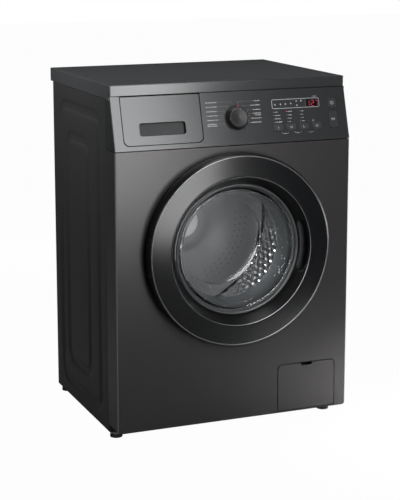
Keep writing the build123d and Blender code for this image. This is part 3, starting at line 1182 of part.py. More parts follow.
# Counterweights: a cast crescent under the mouth and a cast block over the tub
CRESCENT_COLLAR_GAP = 5.0
CRESCENT_MARGIN = 6.0
CRESCENT_INNER = TUB_COLLAR_RADIUS + TUB_COLLAR_WALL + CRESCENT_COLLAR_GAP
CRESCENT_OUTER = TUB_RADIUS - CRESCENT_MARGIN
CRESCENT_HALF_ANGLE = 55.0
CRESCENT_DEPTH = 38.0
with BuildPart() as front_counterweight:
    with BuildSketch(front_plane(TUB_FRONT_Y)):
        with Locations((0, DOOR_Z)):
            Circle(CRESCENT_OUTER)
            Circle(CRESCENT_INNER, mode=Mode.SUBTRACT)
            reach = 2 * CRESCENT_OUTER
            spread = reach * sin(radians(CRESCENT_HALF_ANGLE))
            drop = reach * cos(radians(CRESCENT_HALF_ANGLE))
            Polygon(
                (0, 0),
                (-spread, -drop),
                (-spread, -reach),
                (spread, -reach),
                (spread, -drop),
                align=None,
                mode=Mode.INTERSECT,
            )
    extrude(amount=CRESCENT_DEPTH)
front_counterweight.part.label = "front_counterweight"
export_step(front_counterweight.part, "parts/front_counterweight.step")

BLOCK_OFFSET = 19.5
BLOCK_INSET = 86.0
BLOCK_DROP = 45.0
BLOCK_LEFT = DRAWER_X + DRAWER_WIDTH / 2 + BLOCK_OFFSET
BLOCK_RIGHT = TUB_RADIUS - BLOCK_INSET
BLOCK_TOP_Z = TOP_Z - BLOCK_DROP
BLOCK_FRONT_GAP = 30.0
BLOCK_END_GAP = 158.0
BLOCK_DEPTH = TUB_DEPTH - BLOCK_END_GAP
with BuildPart() as upper_counterweight:
    with BuildSketch(front_plane(TUB_FRONT_Y + BLOCK_FRONT_GAP)):
        with Locations(((BLOCK_LEFT + BLOCK_RIGHT) / 2, BLOCK_TOP_Z)):
            Rectangle(BLOCK_RIGHT - BLOCK_LEFT, BLOCK_TOP_Z - DOOR_Z, align=(Align.CENTER, Align.MAX))
        with Locations((0, DOOR_Z)):
            Circle(TUB_RADIUS + TUB_FLANGE + FIT, mode=Mode.SUBTRACT)
    extrude(amount=-BLOCK_DEPTH)
    chamfer(upper_counterweight.faces().sort_by(Axis.Z)[-1].edges(), length=TUB_FLANGE)
upper_counterweight.part.label = "upper_counterweight"
export_step(upper_counterweight.part, "parts/upper_counterweight.step")

# Upper brace: a channel under the side panels' top flanges that carries the springs
BRACE_DEPTH = 30.0
BRACE_HEIGHT = 20.0
BRACE_WALL = 2.0
BRACE_TOP_Z = TOP_Z - SHEET
BRACE_Z = BRACE_TOP_Z - BRACE_HEIGHT
with BuildPart() as upper_brace:
    with BuildSketch(Plane.YZ.offset(-BASE_HALF_X)):
        with Locations((SPRING_Y, BRACE_Z)):
            Rectangle(BRACE_DEPTH, BRACE_HEIGHT, align=(Align.CENTER, Align.MIN))
        with Locations((SPRING_Y, BRACE_Z + BRACE_WALL)):
            Rectangle(BRACE_DEPTH - 2 * BRACE_WALL, BRACE_HEIGHT, align=(Align.CENTER, Align.MIN),
                      mode=Mode.SUBTRACT)
    extrude(amount=2 * BASE_HALF_X)
upper_brace.part.label = "upper_brace"
export_step(upper_brace.part, "parts/upper_brace.step")

# Springs, close wound, between the brace and the tub's upper lugs
SPRING_RADIUS = 16.0
SPRING_EYE = 3.0
SPRING_EYE_LENGTH = 20.0
SPRING_FOOT_Z = SPRING_LUG_Z + TUB_LUG
with BuildPart() as tub_springs:
    with BuildSketch(Plane.XY.offset(SPRING_FOOT_Z)):
        with Locations((-SPRING_X, SPRING_Y), (SPRING_X, SPRING_Y)):
            Circle(SPRING_EYE)
    extrude(amount=BRACE_Z - SPRING_FOOT_Z)
    with BuildSketch(Plane.XY.offset(SPRING_FOOT_Z + SPRING_EYE_LENGTH)):
        with Locations((-SPRING_X, SPRING_Y), (SPRING_X, SPRING_Y)):
            Circle(SPRING_RADIUS)
    extrude(amount=BRACE_Z - SPRING_FOOT_Z - 2 * SPRING_EYE_LENGTH)
tub_springs.part.label = "tub_springs"
export_step(tub_springs.part, "parts/tub_springs.step")

# Dampers: a tube on the base frame's rear cross rail and a rod up to the tub's lower lug
DAMPER_FOOT_INSET = 82.0
DAMPER_FOOT_X = SIDE_X - DAMPER_FOOT_INSET
DAMPER_FOOT = 30.0
DAMPER_FOOT_HEIGHT = 16.0
DAMPER_RADIUS = 14.0
DAMPER_ROD_RADIUS = 6.0
DAMPER_TUBE_SHARE = 0.62
DAMPER_ROD_SEAT = 30.0
DAMPER_TOP_Z = DAMPER_LUG_Z - TUB_LUG - FIT
DAMPER_FOOT_Z = PANEL_BOTTOM_Z + DAMPER_FOOT_HEIGHT
DAMPER_LENGTH = hypot(DAMPER_FOOT_X - DAMPER_TOP_X, DAMPER_TOP_Z - DAMPER_FOOT_Z)
DAMPER_TUBE = DAMPER_LENGTH * DAMPER_TUBE_SHARE
DAMPER_PLANES = [
    Plane(
        (sign * DAMPER_FOOT_X, DAMPER_Y, DAMPER_FOOT_Z),
        x_dir=(0, 1, 0),
        z_dir=(sign * (DAMPER_TOP_X - DAMPER_FOOT_X), 0, DAMPER_TOP_Z - DAMPER_FOOT_Z),
    )
    for sign in (-1, 1)
]
with BuildPart() as tub_dampers:
    with BuildSketch(Plane.XY.offset(PANEL_BOTTOM_Z)):
        with Locations((-DAMPER_FOOT_X, DAMPER_Y), (DAMPER_FOOT_X, DAMPER_Y)):
            Rectangle(DAMPER_FOOT, DAMPER_FOOT)
    extrude(amount=DAMPER_FOOT_HEIGHT)
    with BuildSketch(*DAMPER_PLANES):
        Circle(DAMPER_RADIUS)
    extrude(amount=DAMPER_TUBE)
    with BuildSketch(*[plane.offset(DAMPER_TUBE) for plane in DAMPER_PLANES]):
        Circle(DAMPER_ROD_RADIUS + RUN_FIT)
    extrude(amount=-DAMPER_ROD_SEAT, mode=Mode.SUBTRACT)
    with BuildSketch(*[plane.offset(DAMPER_TUBE - DAMPER_ROD_SEAT + FIT) for plane in DAMPER_PLANES]):
        Circle(DAMPER_ROD_RADIUS)
    extrude(amount=DAMPER_LENGTH - DAMPER_TUBE + DAMPER_ROD_SEAT - DAMPER_ROD_RADIUS)
tub_dampers.part.label = "tub_dampers"
export_step(tub_dampers.part, "parts/tub_dampers.step")

# Rear panel with its service opening and the ports for water, drain and mains
REAR_Z = PANEL_BOTTOM_Z
SERVICE_DROP = 15.0
SERVICE_Z = DOOR_Z - SERVICE_DROP
SERVICE_RADIUS = 165.0
SERVICE_LAND = 13.0
SERVICE_DISH = 7.0
VALVE_INSET, VALVE_DROP = 67.0, 47.0
VALVE_X, VALVE_Z = VALVE_INSET - SIDE_X, TOP_Z - VALVE_DROP
THREAD_RADIUS = 13.2
NECK_WALL = 2.0
DRAIN_INSET = 41.0
DRAIN_X, DRAIN_Z = SIDE_X - DRAIN_INSET, FILTER_Z
DRAIN_RADIUS = 11.0
GLAND_INSET = 72.0
GLAND_X, GLAND_Z = SIDE_X - GLAND_INSET, VALVE_Z
GLAND_RADIUS = 9.0
PORT_GAP = 0.8
with BuildPart() as rear_panel:
    with BuildSketch(front_plane(REAR_Y)):
        with Locations((0, REAR_Z)):
            Rectangle(2 * BASE_HALF_X, BRACE_TOP_Z - REAR_Z, align=(Align.CENTER, Align.MIN))
        with Locations((0, SERVICE_Z)):
            Circle(SERVICE_RADIUS, mode=Mode.SUBTRACT)
        for port_x, port_z, port_radius in (
            (VALVE_X, VALVE_Z, THREAD_RADIUS + NECK_WALL),
            (DRAIN_X, DRAIN_Z, DRAIN_RADIUS),
            (GLAND_X, GLAND_Z, GLAND_RADIUS),
        ):
            with Locations((port_x, port_z)):
                Circle(port_radius + PORT_GAP, mode=Mode.SUBTRACT)
    extrude(amount=SHEET)
rear_panel.part.label = "rear_panel"
export_step(rear_panel.part, "parts/rear_panel.step")

with BuildPart() as rear_cover:
    with BuildSketch(Plane.XY.offset(SERVICE_Z)):
        Polygon(
            (0, REAR_Y + SERVICE_DISH),
            (SERVICE_RADIUS - 2 * SERVICE_LAND, REAR_Y + SERVICE_DISH),
            (SERVICE_RADIUS - SERVICE_LAND, REAR_Y),
            (SERVICE_RADIUS + SERVICE_LAND, REAR_Y),
            (SERVICE_RADIUS + SERVICE_LAND, REAR_Y + SHEET),
            (SERVICE_RADIUS - SERVICE_LAND, REAR_Y + SHEET),
            (SERVICE_RADIUS - 2 * SERVICE_LAND, REAR_Y + SERVICE_DISH + SHEET),
            (0, REAR_Y + SERVICE_DISH + SHEET),
            align=None,
        )
    revolve(axis=Axis((0, 0, SERVICE_Z), (0, 1, 0)))
rear_cover.part.label = "rear_cover"
export_step(rear_cover.part, "parts/rear_cover.step")

# Detergent drawer: a slanted front with a finger recess, a tray with three compartments and a
# siphon cap over the softener compartment
DRAWER_FRONT = 14.0
RECESS_OFFSET = 0.25
RECESS_X = DRAWER_X - RECESS_OFFSET
RECESS_S = 79.0
RECESS_WIDTH = 113.5
RECESS_HEIGHT = 30.0
RECESS_CORNER = 6.0
RECESS_DEPTH = 10.0
TRAY_WIDTH = 180.0
TRAY_WALL = 2.5
TRAY_DROP = 79.0
TRAY_HEIGHT = 58.0
TRAY_BRACE_GAP = 70.0
TRAY_BOTTOM_Z = TOP_Z - TRAY_DROP
TRAY_BACK_Y = SPRING_Y - TRAY_BRACE_GAP
SOFTENER_WIDTH = 40.0
WASH_WIDTH = 70.0
TRAY_TOP_Z = TRAY_BOTTOM_Z + TRAY_HEIGHT
with BuildPart() as drawer_front:
    with BuildSketch(FACE) as drawer_outline:
        with Locations((DRAWER_X, -DRAWER_MID_S)):
            Rectangle(DRAWER_WIDTH, DRAWER_HEIGHT)
        fillet(drawer_outline.vertices().group_by(Axis.Y)[0], radius=DRAWER_CORNER)
    extrude(amount=-DRAWER_FRONT)
    fillet(drawer_front.faces().sort_by(Axis(FACE.origin, FACE.z_dir))[-1].edges(), radius=SHEET)
    with BuildSketch(FACE):
        with Locations((RECESS_X, -RECESS_S)):
            RectangleRounded(RECESS_WIDTH, RECESS_HEIGHT, RECESS_CORNER)
    extrude(amount=-RECESS_DEPTH, mode=Mode.SUBTRACT)
drawer_front.part.label = "drawer_front"
export_step(drawer_front.part, "parts/drawer_front.step")

POCKET_FRONT_Y = face_y(TRAY_TOP_Z, DRAWER_FRONT) + TRAY_WALL
POCKET_LENGTH = TRAY_BACK_Y - TRAY_WALL - POCKET_FRONT_Y
TRAY_LEFT = DRAWER_X - TRAY_WIDTH / 2
WASH_LEFT = TRAY_LEFT + TRAY_WALL
SOFTENER_LEFT = WASH_LEFT + WASH_WIDTH + TRAY_WALL
PREWASH_LEFT = SOFTENER_LEFT + SOFTENER_WIDTH + TRAY_WALL
PREWASH_WIDTH = TRAY_LEFT + TRAY_WIDTH - TRAY_WALL - PREWASH_LEFT
with BuildPart() as drawer_tray:
    with BuildSketch(Plane.YZ.offset(TRAY_LEFT)):
        Polygon(
            (face_y(TRAY_BOTTOM_Z, DRAWER_FRONT), TRAY_BOTTOM_Z),
            (TRAY_BACK_Y, TRAY_BOTTOM_Z),
            (TRAY_BACK_Y, TRAY_TOP_Z),
            (face_y(TRAY_TOP_Z, DRAWER_FRONT), TRAY_TOP_Z),
            align=None,
        )
    extrude(amount=TRAY_WIDTH)
    with BuildSketch(Plane.XY.offset(TRAY_TOP_Z)):
        for left, width in (
            (WASH_LEFT, WASH_WIDTH),
            (SOFTENER_LEFT, SOFTENER_WIDTH),
            (PREWASH_LEFT, PREWASH_WIDTH),
        ):
            with Locations((left, POCKET_FRONT_Y)):
                Rectangle(width, POCKET_LENGTH, align=(Align.MIN, Align.MIN))
    extrude(amount=-(TRAY_HEIGHT - TRAY_WALL), mode=Mode.SUBTRACT)
drawer_tray.part.label = "drawer_tray"
export_step(drawer_tray.part, "parts/drawer_tray.step")

CAP_DROP = 14.0
CAP_WALL = 3.0
SIPHON_RADIUS = 6.0
CAP_LENGTH = 70.0
with BuildPart() as softener_cap:
    with BuildSketch(Plane.XY.offset(TRAY_TOP_Z - CAP_DROP)):
        with Locations((SOFTENER_LEFT + SOFTENER_WIDTH / 2, TRAY_BACK_Y - TRAY_WALL - FIT)):
            Rectangle(SOFTENER_WIDTH - 2 * FIT, CAP_LENGTH, align=(Align.CENTER, Align.MAX))
    extrude(amount=CAP_WALL)
    with BuildSketch(Plane.XY.offset(TRAY_TOP_Z - CAP_DROP)):
        with Locations((SOFTENER_LEFT + SOFTENER_WIDTH / 2, TRAY_BACK_Y - CAP_LENGTH / 2)):
            Circle(SIPHON_RADIUS)
    extrude(amount=-(TRAY_HEIGHT - CAP_DROP - TRAY_WALL - FIT))
softener_cap.part.label = "softener_cap"
export_step(softener_cap.part, "parts/softener_cap.step")

# Dispenser housing: an open-fronted box with runners for the tray, hung on the side panel's flange
HOUSING_GAP = 3.0
HOUSING_WALL = 2.5
HOUSING_FLOOR_GAP = 16.0
HOUSING_BOTTOM_Z = TRAY_BOTTOM_Z - HOUSING_FLOOR_GAP
HOUSING_LEAD = 12.0
HOUSING_TAIL = 12.0
RUNNER_WIDTH = 6.0
RUNNER_INSET = 10.0
EAR_REACH = 18.0
EAR_LENGTH = 80.0
HOUSING_HALF = TRAY_WIDTH / 2 + HOUSING_GAP + HOUSING_WALL
HOUSING_FRONT_Y = SEAM_Y - HOUSING_LEAD
HOUSING_BACK_Y = TRAY_BACK_Y + HOUSING_TAIL
with BuildPart() as dispenser_housing:
    with BuildSketch(Plane.XY.offset(HOUSING_BOTTOM_Z)):
        with Locations((DRAWER_X, HOUSING_FRONT_Y)):
            Rectangle(2 * HOUSING_HALF, HOUSING_BACK_Y - HOUSING_FRONT_Y, align=(Align.CENTER, Align.MIN))
    extrude(amount=BRACE_TOP_Z - HOUSING_BOTTOM_Z)
    offset(amount=-HOUSING_WALL, openings=dispenser_housing.faces().sort_by(Axis.Y)[0])
    with BuildSketch(Plane.XY.offset(HOUSING_BOTTOM_Z + HOUSING_WALL)):
        for runner_x in (TRAY_LEFT + RUNNER_INSET, TRAY_LEFT + TRAY_WIDTH - RUNNER_INSET):
            with Locations((runner_x, HOUSING_FRONT_Y)):
                Rectangle(RUNNER_WIDTH, HOUSING_BACK_Y - HOUSING_FRONT_Y - HOUSING_WALL,
                          align=(Align.CENTER, Align.MIN))
    extrude(amount=TRAY_BOTTOM_Z - FIT - HOUSING_BOTTOM_Z - HOUSING_WALL)
    with BuildSketch(Plane.XY.offset(BRACE_TOP_Z)):
        with Locations((DRAWER_X - HOUSING_HALF, SIDE_FRONT_Y + EAR_LENGTH)):
            Rectangle(EAR_REACH, EAR_LENGTH, align=(Align.MAX, Align.CENTER))
    extrude(amount=-HOUSING_WALL)
dispenser_housing.part.label = "dispenser_housing"
export_step(dispenser_housing.part, "parts/dispenser_housing.step")

# Inlet valve on the rear panel, with its threaded spigot
VALVE_WIDTH = 36.0
VALVE_HEIGHT = 40.0
VALVE_DEPTH = 46.0
THREAD_REACH = 11.0
NECK_REACH = 1.0
THREAD_BORE = 9.0
HOSE_RADIUS = 8.0
with BuildPart() as inlet_valve:
    with BuildSketch(front_plane(REAR_Y - SHEET)):
        with Locations((VALVE_X, VALVE_Z)):
            RectangleRounded(VALVE_WIDTH, VALVE_HEIGHT, RECESS_CORNER)
    extrude(amount=VALVE_DEPTH)
    with BuildSketch(front_plane(REAR_Y - SHEET)):
        with Locations((VALVE_X, VALVE_Z)):
            Circle(THREAD_RADIUS + NECK_WALL)
    extrude(amount=-(SHEET + NECK_REACH))
    with BuildSketch(front_plane(REAR_Y)):
        with Locations((VALVE_X, VALVE_Z)):
            Circle(THREAD_RADIUS)
    extrude(amount=-THREAD_REACH)
    with BuildSketch(front_plane(REAR_Y + THREAD_REACH)):
        with Locations((VALVE_X, VALVE_Z)):
            Circle(THREAD_BORE)
    extrude(amount=2 * THREAD_REACH, mode=Mode.SUBTRACT)
inlet_valve.part.label = "inlet_valve"
export_step(inlet_valve.part, "parts/inlet_valve.step")

# Filter bay behind the cover, with the hinge sockets of the cover and the filter's hole
FILTER_BORE = 27.0
FILTER_WALL = 4.0
FILTER_LENGTH = 90.0
BAY_WALL = 2.5
BAY_DEPTH = 40.0
COVER_PIN_RADIUS = 1.0
COVER_PIN_LEAD = 3.0
COVER_PIN_LIFT = 4.0
COVER_PROUD = 0.8
COVER_PLATE = 3.3
COVER_RIB = 2.0
COVER_FOOT_Z = COVER_Z - COVER_HEIGHT / 2
COVER_PIN_Y = PANEL_Y + COVER_PIN_LEAD
COVER_PIN_Z = COVER_FOOT_Z + COVER_PIN_LIFT
BAY_HALF = COVER_WIDTH / 2 + COVER_GAP
BAY_Y = PANEL_Y + SHEET
BAY_FLOOR_Z = PANEL_BOTTOM_Z + SHEET
BAY_TOP_Z = COVER_Z + COVER_HEIGHT / 2 + COVER_GAP
with BuildPart() as filter_bay:
    with BuildSketch(front_plane(BAY_Y)):
        with Locations((COVER_X, BAY_FLOOR_Z)):
            Rectangle(2 * (BAY_HALF + BAY_WALL), BAY_TOP_Z + BAY_WALL - BAY_FLOOR_Z,
                      align=(Align.CENTER, Align.MIN))
    extrude(amount=-BAY_DEPTH)
    with BuildSketch(front_plane(BAY_Y)):
        with Locations((COVER_X, BAY_FLOOR_Z)):
            Rectangle(2 * BAY_HALF, BAY_TOP_Z - BAY_FLOOR_Z, align=(Align.CENTER, Align.MIN))
    extrude(amount=-(BAY_DEPTH - BAY_WALL), mode=Mode.SUBTRACT)
    with BuildSketch(front_plane(BAY_Y)):
        with Locations((FILTER_X, FILTER_Z)):
            Circle(FILTER_BORE)
    extrude(amount=-BAY_DEPTH, mode=Mode.SUBTRACT)
    with BuildSketch(Plane.YZ.offset(COVER_X)):
        with Locations((COVER_PIN_Y, COVER_PIN_Z)):
            Circle(COVER_PIN_RADIUS + RUN_FIT)
    extrude(amount=BAY_HALF + BAY_WALL, both=True, mode=Mode.SUBTRACT)
filter_bay.part.label = "filter_bay"
export_step(filter_bay.part, "parts/filter_bay.step")

# Filter cover: a plate with a finger notch, a rib along its foot and a pin at each end of the rib
NOTCH_WIDTH = 30.0
FINGER_NOTCH_DEPTH = 7.0
with BuildPart() as filter_cover:
    with BuildSketch(front_plane(PANEL_Y - COVER_PROUD)):
        with Locations((COVER_X, COVER_Z)):
            RectangleRounded(COVER_WIDTH, COVER_HEIGHT, COVER_CORNER)
        with Locations((COVER_X, COVER_FOOT_Z)):
            RectangleRounded(
                COVER_WIDTH, COVER_FOOT_HEIGHT, COVER_FOOT_CORNER, align=(Align.CENTER, Align.MIN)
            )
    extrude(amount=-COVER_PLATE)
    fillet(filter_cover.faces().sort_by(Axis.Y)[0].edges(), radius=SHEET)
    with BuildSketch(front_plane(PANEL_Y - COVER_PROUD)):
        with Locations((COVER_X, COVER_Z + COVER_HEIGHT / 2)):
            RectangleRounded(NOTCH_WIDTH, 2 * FINGER_NOTCH_DEPTH, FINGER_NOTCH_DEPTH / 2)
    extrude(amount=-COVER_PLATE, mode=Mode.SUBTRACT)
    with BuildSketch(Plane.YZ.offset(COVER_X)):
        with Locations((PANEL_Y - COVER_PROUD + COVER_PLATE, COVER_PIN_Z)):
            Rectangle(COVER_RIB, 2 * COVER_RIB, align=(Align.MIN, Align.CENTER))
    extrude(amount=COVER_WIDTH / 2 - COVER_CORNER / 2, both=True)
    with BuildSketch(Plane.YZ.offset(COVER_X)):
        with Locations((COVER_PIN_Y, COVER_PIN_Z)):
            Circle(COVER_PIN_RADIUS)
    extrude(amount=BAY_HALF + BAY_WALL, both=True)
filter_cover.part.label = "filter_cover"
export_step(filter_cover.part, "parts/filter_cover.step")

# Filter housing, its screw plug, the drain pump and the hoses inside the cabinet
BAY_BACK_Y = BAY_Y + BAY_DEPTH
PLUG_BARREL = 56.0
PLUG_KNOB_RADIUS = 24.0
PLUG_KNOB = 10.0
PLUG_GRIP = 9.0
PLUG_GRIP_HEIGHT = 42.0
PUMP_RADIUS = 30.0
PUMP_LENGTH = 70.0
FILTER_RADIUS = FILTER_BORE + FILTER_WALL
FILTER_BACK_Y = BAY_BACK_Y + FILTER_LENGTH
with BuildPart() as filter_housing:
    with BuildSketch(front_plane(BAY_BACK_Y)):
        with Locations((FILTER_X, FILTER_Z)):
            Circle(FILTER_RADIUS)
    extrude(amount=-FILTER_LENGTH)
    with BuildSketch(front_plane(BAY_BACK_Y)):
        with Locations((FILTER_X, FILTER_Z)):
            Circle(FILTER_RADIUS + FILTER_WALL)
    extrude(amount=-FILTER_WALL)
    with BuildSketch(front_plane(BAY_BACK_Y)):
        with Locations((FILTER_X, FILTER_Z)):
            Circle(FILTER_BORE)
    extrude(amount=-(FILTER_LENGTH - FILTER_WALL), mode=Mode.SUBTRACT)
filter_housing.part.label = "filter_housing"
export_step(filter_housing.part, "parts/filter_housing.step")

PLUG_FRONT_Y = BAY_BACK_Y - BAY_WALL - FIT
with BuildPart() as filter_plug:
    with BuildSketch(front_plane(PLUG_FRONT_Y)):
        with Locations((FILTER_X, FILTER_Z)):
            Circle(FILTER_BORE - FIT)
    extrude(amount=-PLUG_BARREL)
    with BuildSketch(front_plane(PLUG_FRONT_Y)):
        with Locations((FILTER_X, FILTER_Z)):
            Circle(PLUG_KNOB_RADIUS)
    extrude(amount=PLUG_KNOB / 2)
    with BuildSketch(front_plane(PLUG_FRONT_Y - PLUG_KNOB / 2)):
        with Locations((FILTER_X, FILTER_Z)):
            RectangleRounded(PLUG_GRIP, PLUG_GRIP_HEIGHT, PLUG_GRIP / 3)
    extrude(amount=PLUG_KNOB)
filter_plug.part.label = "filter_plug"
export_step(filter_plug.part, "parts/filter_plug.step")

with BuildPart() as drain_pump:
    with BuildSketch(front_plane(FILTER_BACK_Y)):
        with Locations((FILTER_X, FILTER_Z)):
            Circle(PUMP_RADIUS)
    extrude(amount=-PUMP_LENGTH)
    fillet(drain_pump.faces().sort_by(Axis.Y)[-1].edges(), radius=PUMP_RADIUS / 5)
drain_pump.part.label = "drain_pump"
export_step(drain_pump.part, "parts/drain_pump.step")

SUMP_BEND = 24.0
DRAIN_BEND = 18.0
PUMP_PORT_Y = FILTER_BACK_Y + PUMP_LENGTH / 2
with BuildPart() as inner_hoses:
    with BuildSketch(front_plane(HOUSING_BACK_Y)):
        with Locations((VALVE_X, VALVE_Z)):
            Circle(HOSE_RADIUS)
    extrude(amount=-(REAR_Y - SHEET - VALVE_DEPTH - HOUSING_BACK_Y))
    with BuildSketch(Plane.XY.offset(FILL_SPOUT_Z)):
        with Locations((FILL_X, FILL_Y)):
            Circle(FILL_RADIUS)
    extrude(amount=HOUSING_BOTTOM_Z - FILL_SPOUT_Z)
    with BuildLine() as sump_path:
        FilletPolyline(
            (SUMP_X, SUMP_Y, SUMP_SPOUT_Z),
            (SUMP_X, SUMP_Y, FILTER_Z),
            (FILTER_X - FILTER_RADIUS - FIT, SUMP_Y, FILTER_Z),
            radius=SUMP_BEND,
        )
    with BuildSketch(Plane.XY.offset(SUMP_SPOUT_Z)):
        with Locations((SUMP_X, SUMP_Y)):
            Circle(SUMP_RADIUS)
    sweep(path=sump_path.wires()[0])
    with BuildLine() as drain_path:
        FilletPolyline(
            (FILTER_X + PUMP_RADIUS + FIT, PUMP_PORT_Y, DRAIN_Z),
            (DRAIN_X, PUMP_PORT_Y, DRAIN_Z),
            (DRAIN_X, REAR_Y - SHEET, DRAIN_Z),
            radius=DRAIN_BEND,
        )
    with BuildSketch(Plane.YZ.offset(FILTER_X + PUMP_RADIUS + FIT)):
        with Locations((PUMP_PORT_Y, DRAIN_Z)):
            Circle(DRAIN_RADIUS)
    sweep(path=drain_path.wires()[0])
inner_hoses.part.label = "inner_hoses"
export_step(inner_hoses.part, "parts/inner_hoses.step")

# Rear fittings: the drain outlet and the mains gland, each with a collar against the panel
FITTING_COLLAR = 4.0
FITTING_REACH = 10.5
with BuildPart() as rear_fittings:
    for fit_x, fit_z, fit_radius in (
        (DRAIN_X, DRAIN_Z, DRAIN_RADIUS),
        (GLAND_X, GLAND_Z, GLAND_RADIUS),
    ):
        with BuildSketch(front_plane(REAR_Y)):
            with Locations((fit_x, fit_z)):
                Circle(fit_radius + FITTING_COLLAR)
        extrude(amount=-SHEET)
        with BuildSketch(front_plane(REAR_Y - SHEET)):
            with Locations((fit_x, fit_z)):
                Circle(fit_radius)
        extrude(amount=-(SHEET + FITTING_REACH))
        with BuildSketch(front_plane(REAR_Y - SHEET)):
            with Locations((fit_x, fit_z)):
                Circle(fit_radius - SHEET)
        extrude(amount=-(SHEET + FITTING_REACH), mode=Mode.SUBTRACT)
rear_fittings.part.label = "rear_fittings"
export_step(rear_fittings.part, "parts/rear_fittings.step")
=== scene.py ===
"""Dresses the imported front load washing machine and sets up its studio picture."""
import logging
import random
from dataclasses import dataclass, field
from enum import Enum
from math import cos, pi, radians, sin
from typing import Any, Callable, Iterable, Optional, Sequence

import bmesh
import bpy
from mathutils import Matrix, Vector


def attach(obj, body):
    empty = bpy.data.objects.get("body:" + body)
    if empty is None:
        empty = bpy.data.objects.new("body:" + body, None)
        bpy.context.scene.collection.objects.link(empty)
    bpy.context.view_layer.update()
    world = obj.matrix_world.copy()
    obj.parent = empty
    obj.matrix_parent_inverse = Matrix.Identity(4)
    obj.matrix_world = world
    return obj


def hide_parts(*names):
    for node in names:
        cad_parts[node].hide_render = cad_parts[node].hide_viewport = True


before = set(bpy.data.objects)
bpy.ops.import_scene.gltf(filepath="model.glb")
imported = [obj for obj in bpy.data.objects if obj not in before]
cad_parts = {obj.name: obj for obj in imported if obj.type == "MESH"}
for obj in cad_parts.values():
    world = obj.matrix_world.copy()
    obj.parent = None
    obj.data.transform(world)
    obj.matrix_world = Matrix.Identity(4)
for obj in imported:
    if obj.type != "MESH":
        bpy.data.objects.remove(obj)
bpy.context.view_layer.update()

log = logging.getLogger("washing_machine")

MM = 0.001
MOUTH_Z = 455.0  # height of the axis that door, gasket and drum share
BEVEL_ANGLE = 30.0  # edges sharper than this many degrees are rounded
FLAT_ANGLE = 0.4  # faces that meet at less than this many degrees are joined
Point = tuple[float, float]
Color = tuple[float, float, float]


class Texture(Enum):
    """Surface character that a finish can have."""

    PAINT = "paint"
    MOULDED = "moulded"
    GLOSS = "gloss"
    BRUSHED = "brushed"
    RUBBER = "rubber"
    CAST = "cast"
    GLASS = "glass"
    LAMP = "lamp"
    INK = "ink"


class Value:
    """A shader socket that takes part in Python expressions."""

    def __init__(self, tree: bpy.types.NodeTree, socket: bpy.types.NodeSocket) -> None:
        """Keep the socket and the tree that it belongs to."""
        self.tree = tree
        self.socket = socket

    def _math(self, operation: str, first: Any, second: Any) -> "Value":
        """Add a Math node.

        Args:
            operation: The Math node's operation.
            first: Value or number for the first input.
            second: Value or number for the second input.

        Returns:
            The node's result.
        """
        made = self.tree.nodes.new("ShaderNodeMath")
        made.operation = operation
        for socket, item in zip(made.inputs, (first, second)):
            if isinstance(item, Value):
                self.tree.links.new(item.socket, socket)
            else:
                socket.default_value = item
        return Value(self.tree, made.outputs[0])

    def __add__(self, other: Any) -> "Value":
        """Sum."""
        return self._math("ADD", self, other)

    def __radd__(self, other: Any) -> "Value":
        """Reflected sum."""
        return self._math("ADD", other, self)

    def __sub__(self, other: Any) -> "Value":
        """Difference."""
        return self._math("SUBTRACT", self, other)

    def __rsub__(self, other: Any) -> "Value":
        """Reflected difference."""
        return self._math("SUBTRACT", other, self)

    def __mul__(self, other: Any) -> "Value":
        """Product."""
        return self._math("MULTIPLY", self, other)

    def __rmul__(self, other: Any) -> "Value":
        """Reflected product."""
        return self._math("MULTIPLY", other, self)


class ShaderGraph:
    """Node tree of one material, filled through a single method."""

    def __init__(self, tree: bpy.types.NodeTree) -> None:
        """Empty the tree."""
        self.tree = tree
        tree.nodes.clear()

    def node(self, kind: str, settings: Optional[dict] = None, out: Any = 0, **sockets: Any) -> Value:
        """Add a node.

        Args:
            kind: Node type without its ShaderNode prefix.
            settings: Properties that are set before the sockets; "stops" fills a colour ramp.
            out: Name or number of the output to return.
            **sockets: Values or links by socket name, with _ for a blank, or in_N by number.

        Returns:
            The chosen output, or the node's first input where it has no output.
        """
        made = self.tree.nodes.new("ShaderNode" + kind)
        for name, item in (settings or {}).items():
            if name == "stops":
                for stop, (at, color) in zip(made.color_ramp.elements, item):
                    stop.position = at
                    stop.color = color
            else:
                setattr(made, name, item)
        for name, item in sockets.items():
            socket = made.inputs[int(name[3:])] if name.startswith("in_") else made.inputs[name.replace("_", " ")]
            if isinstance(item, Value):
                self.tree.links.new(item.socket, socket)
            else:
                socket.default_value = item
        return Value(self.tree, made.outputs[out] if made.outputs else made.inputs[0])

    def place(self, stretch: Sequence[float] = (1.0, 1.0, 1.0)) -> Value:
        """Object coordinates, stretched per axis."""
        spot = self.node("TexCoord", out="Object")
        return self.node("Mapping", Vector=spot, Scale=tuple(stretch))

    def blend(self, factor: Any, low: Color, high: Color) -> Value:
        """Mix of two colours by a factor."""
        return self.node("Mix", {"data_type": "RGBA"}, out=2, in_0=factor, in_6=(*low, 1.0), in_7=(*high, 1.0))


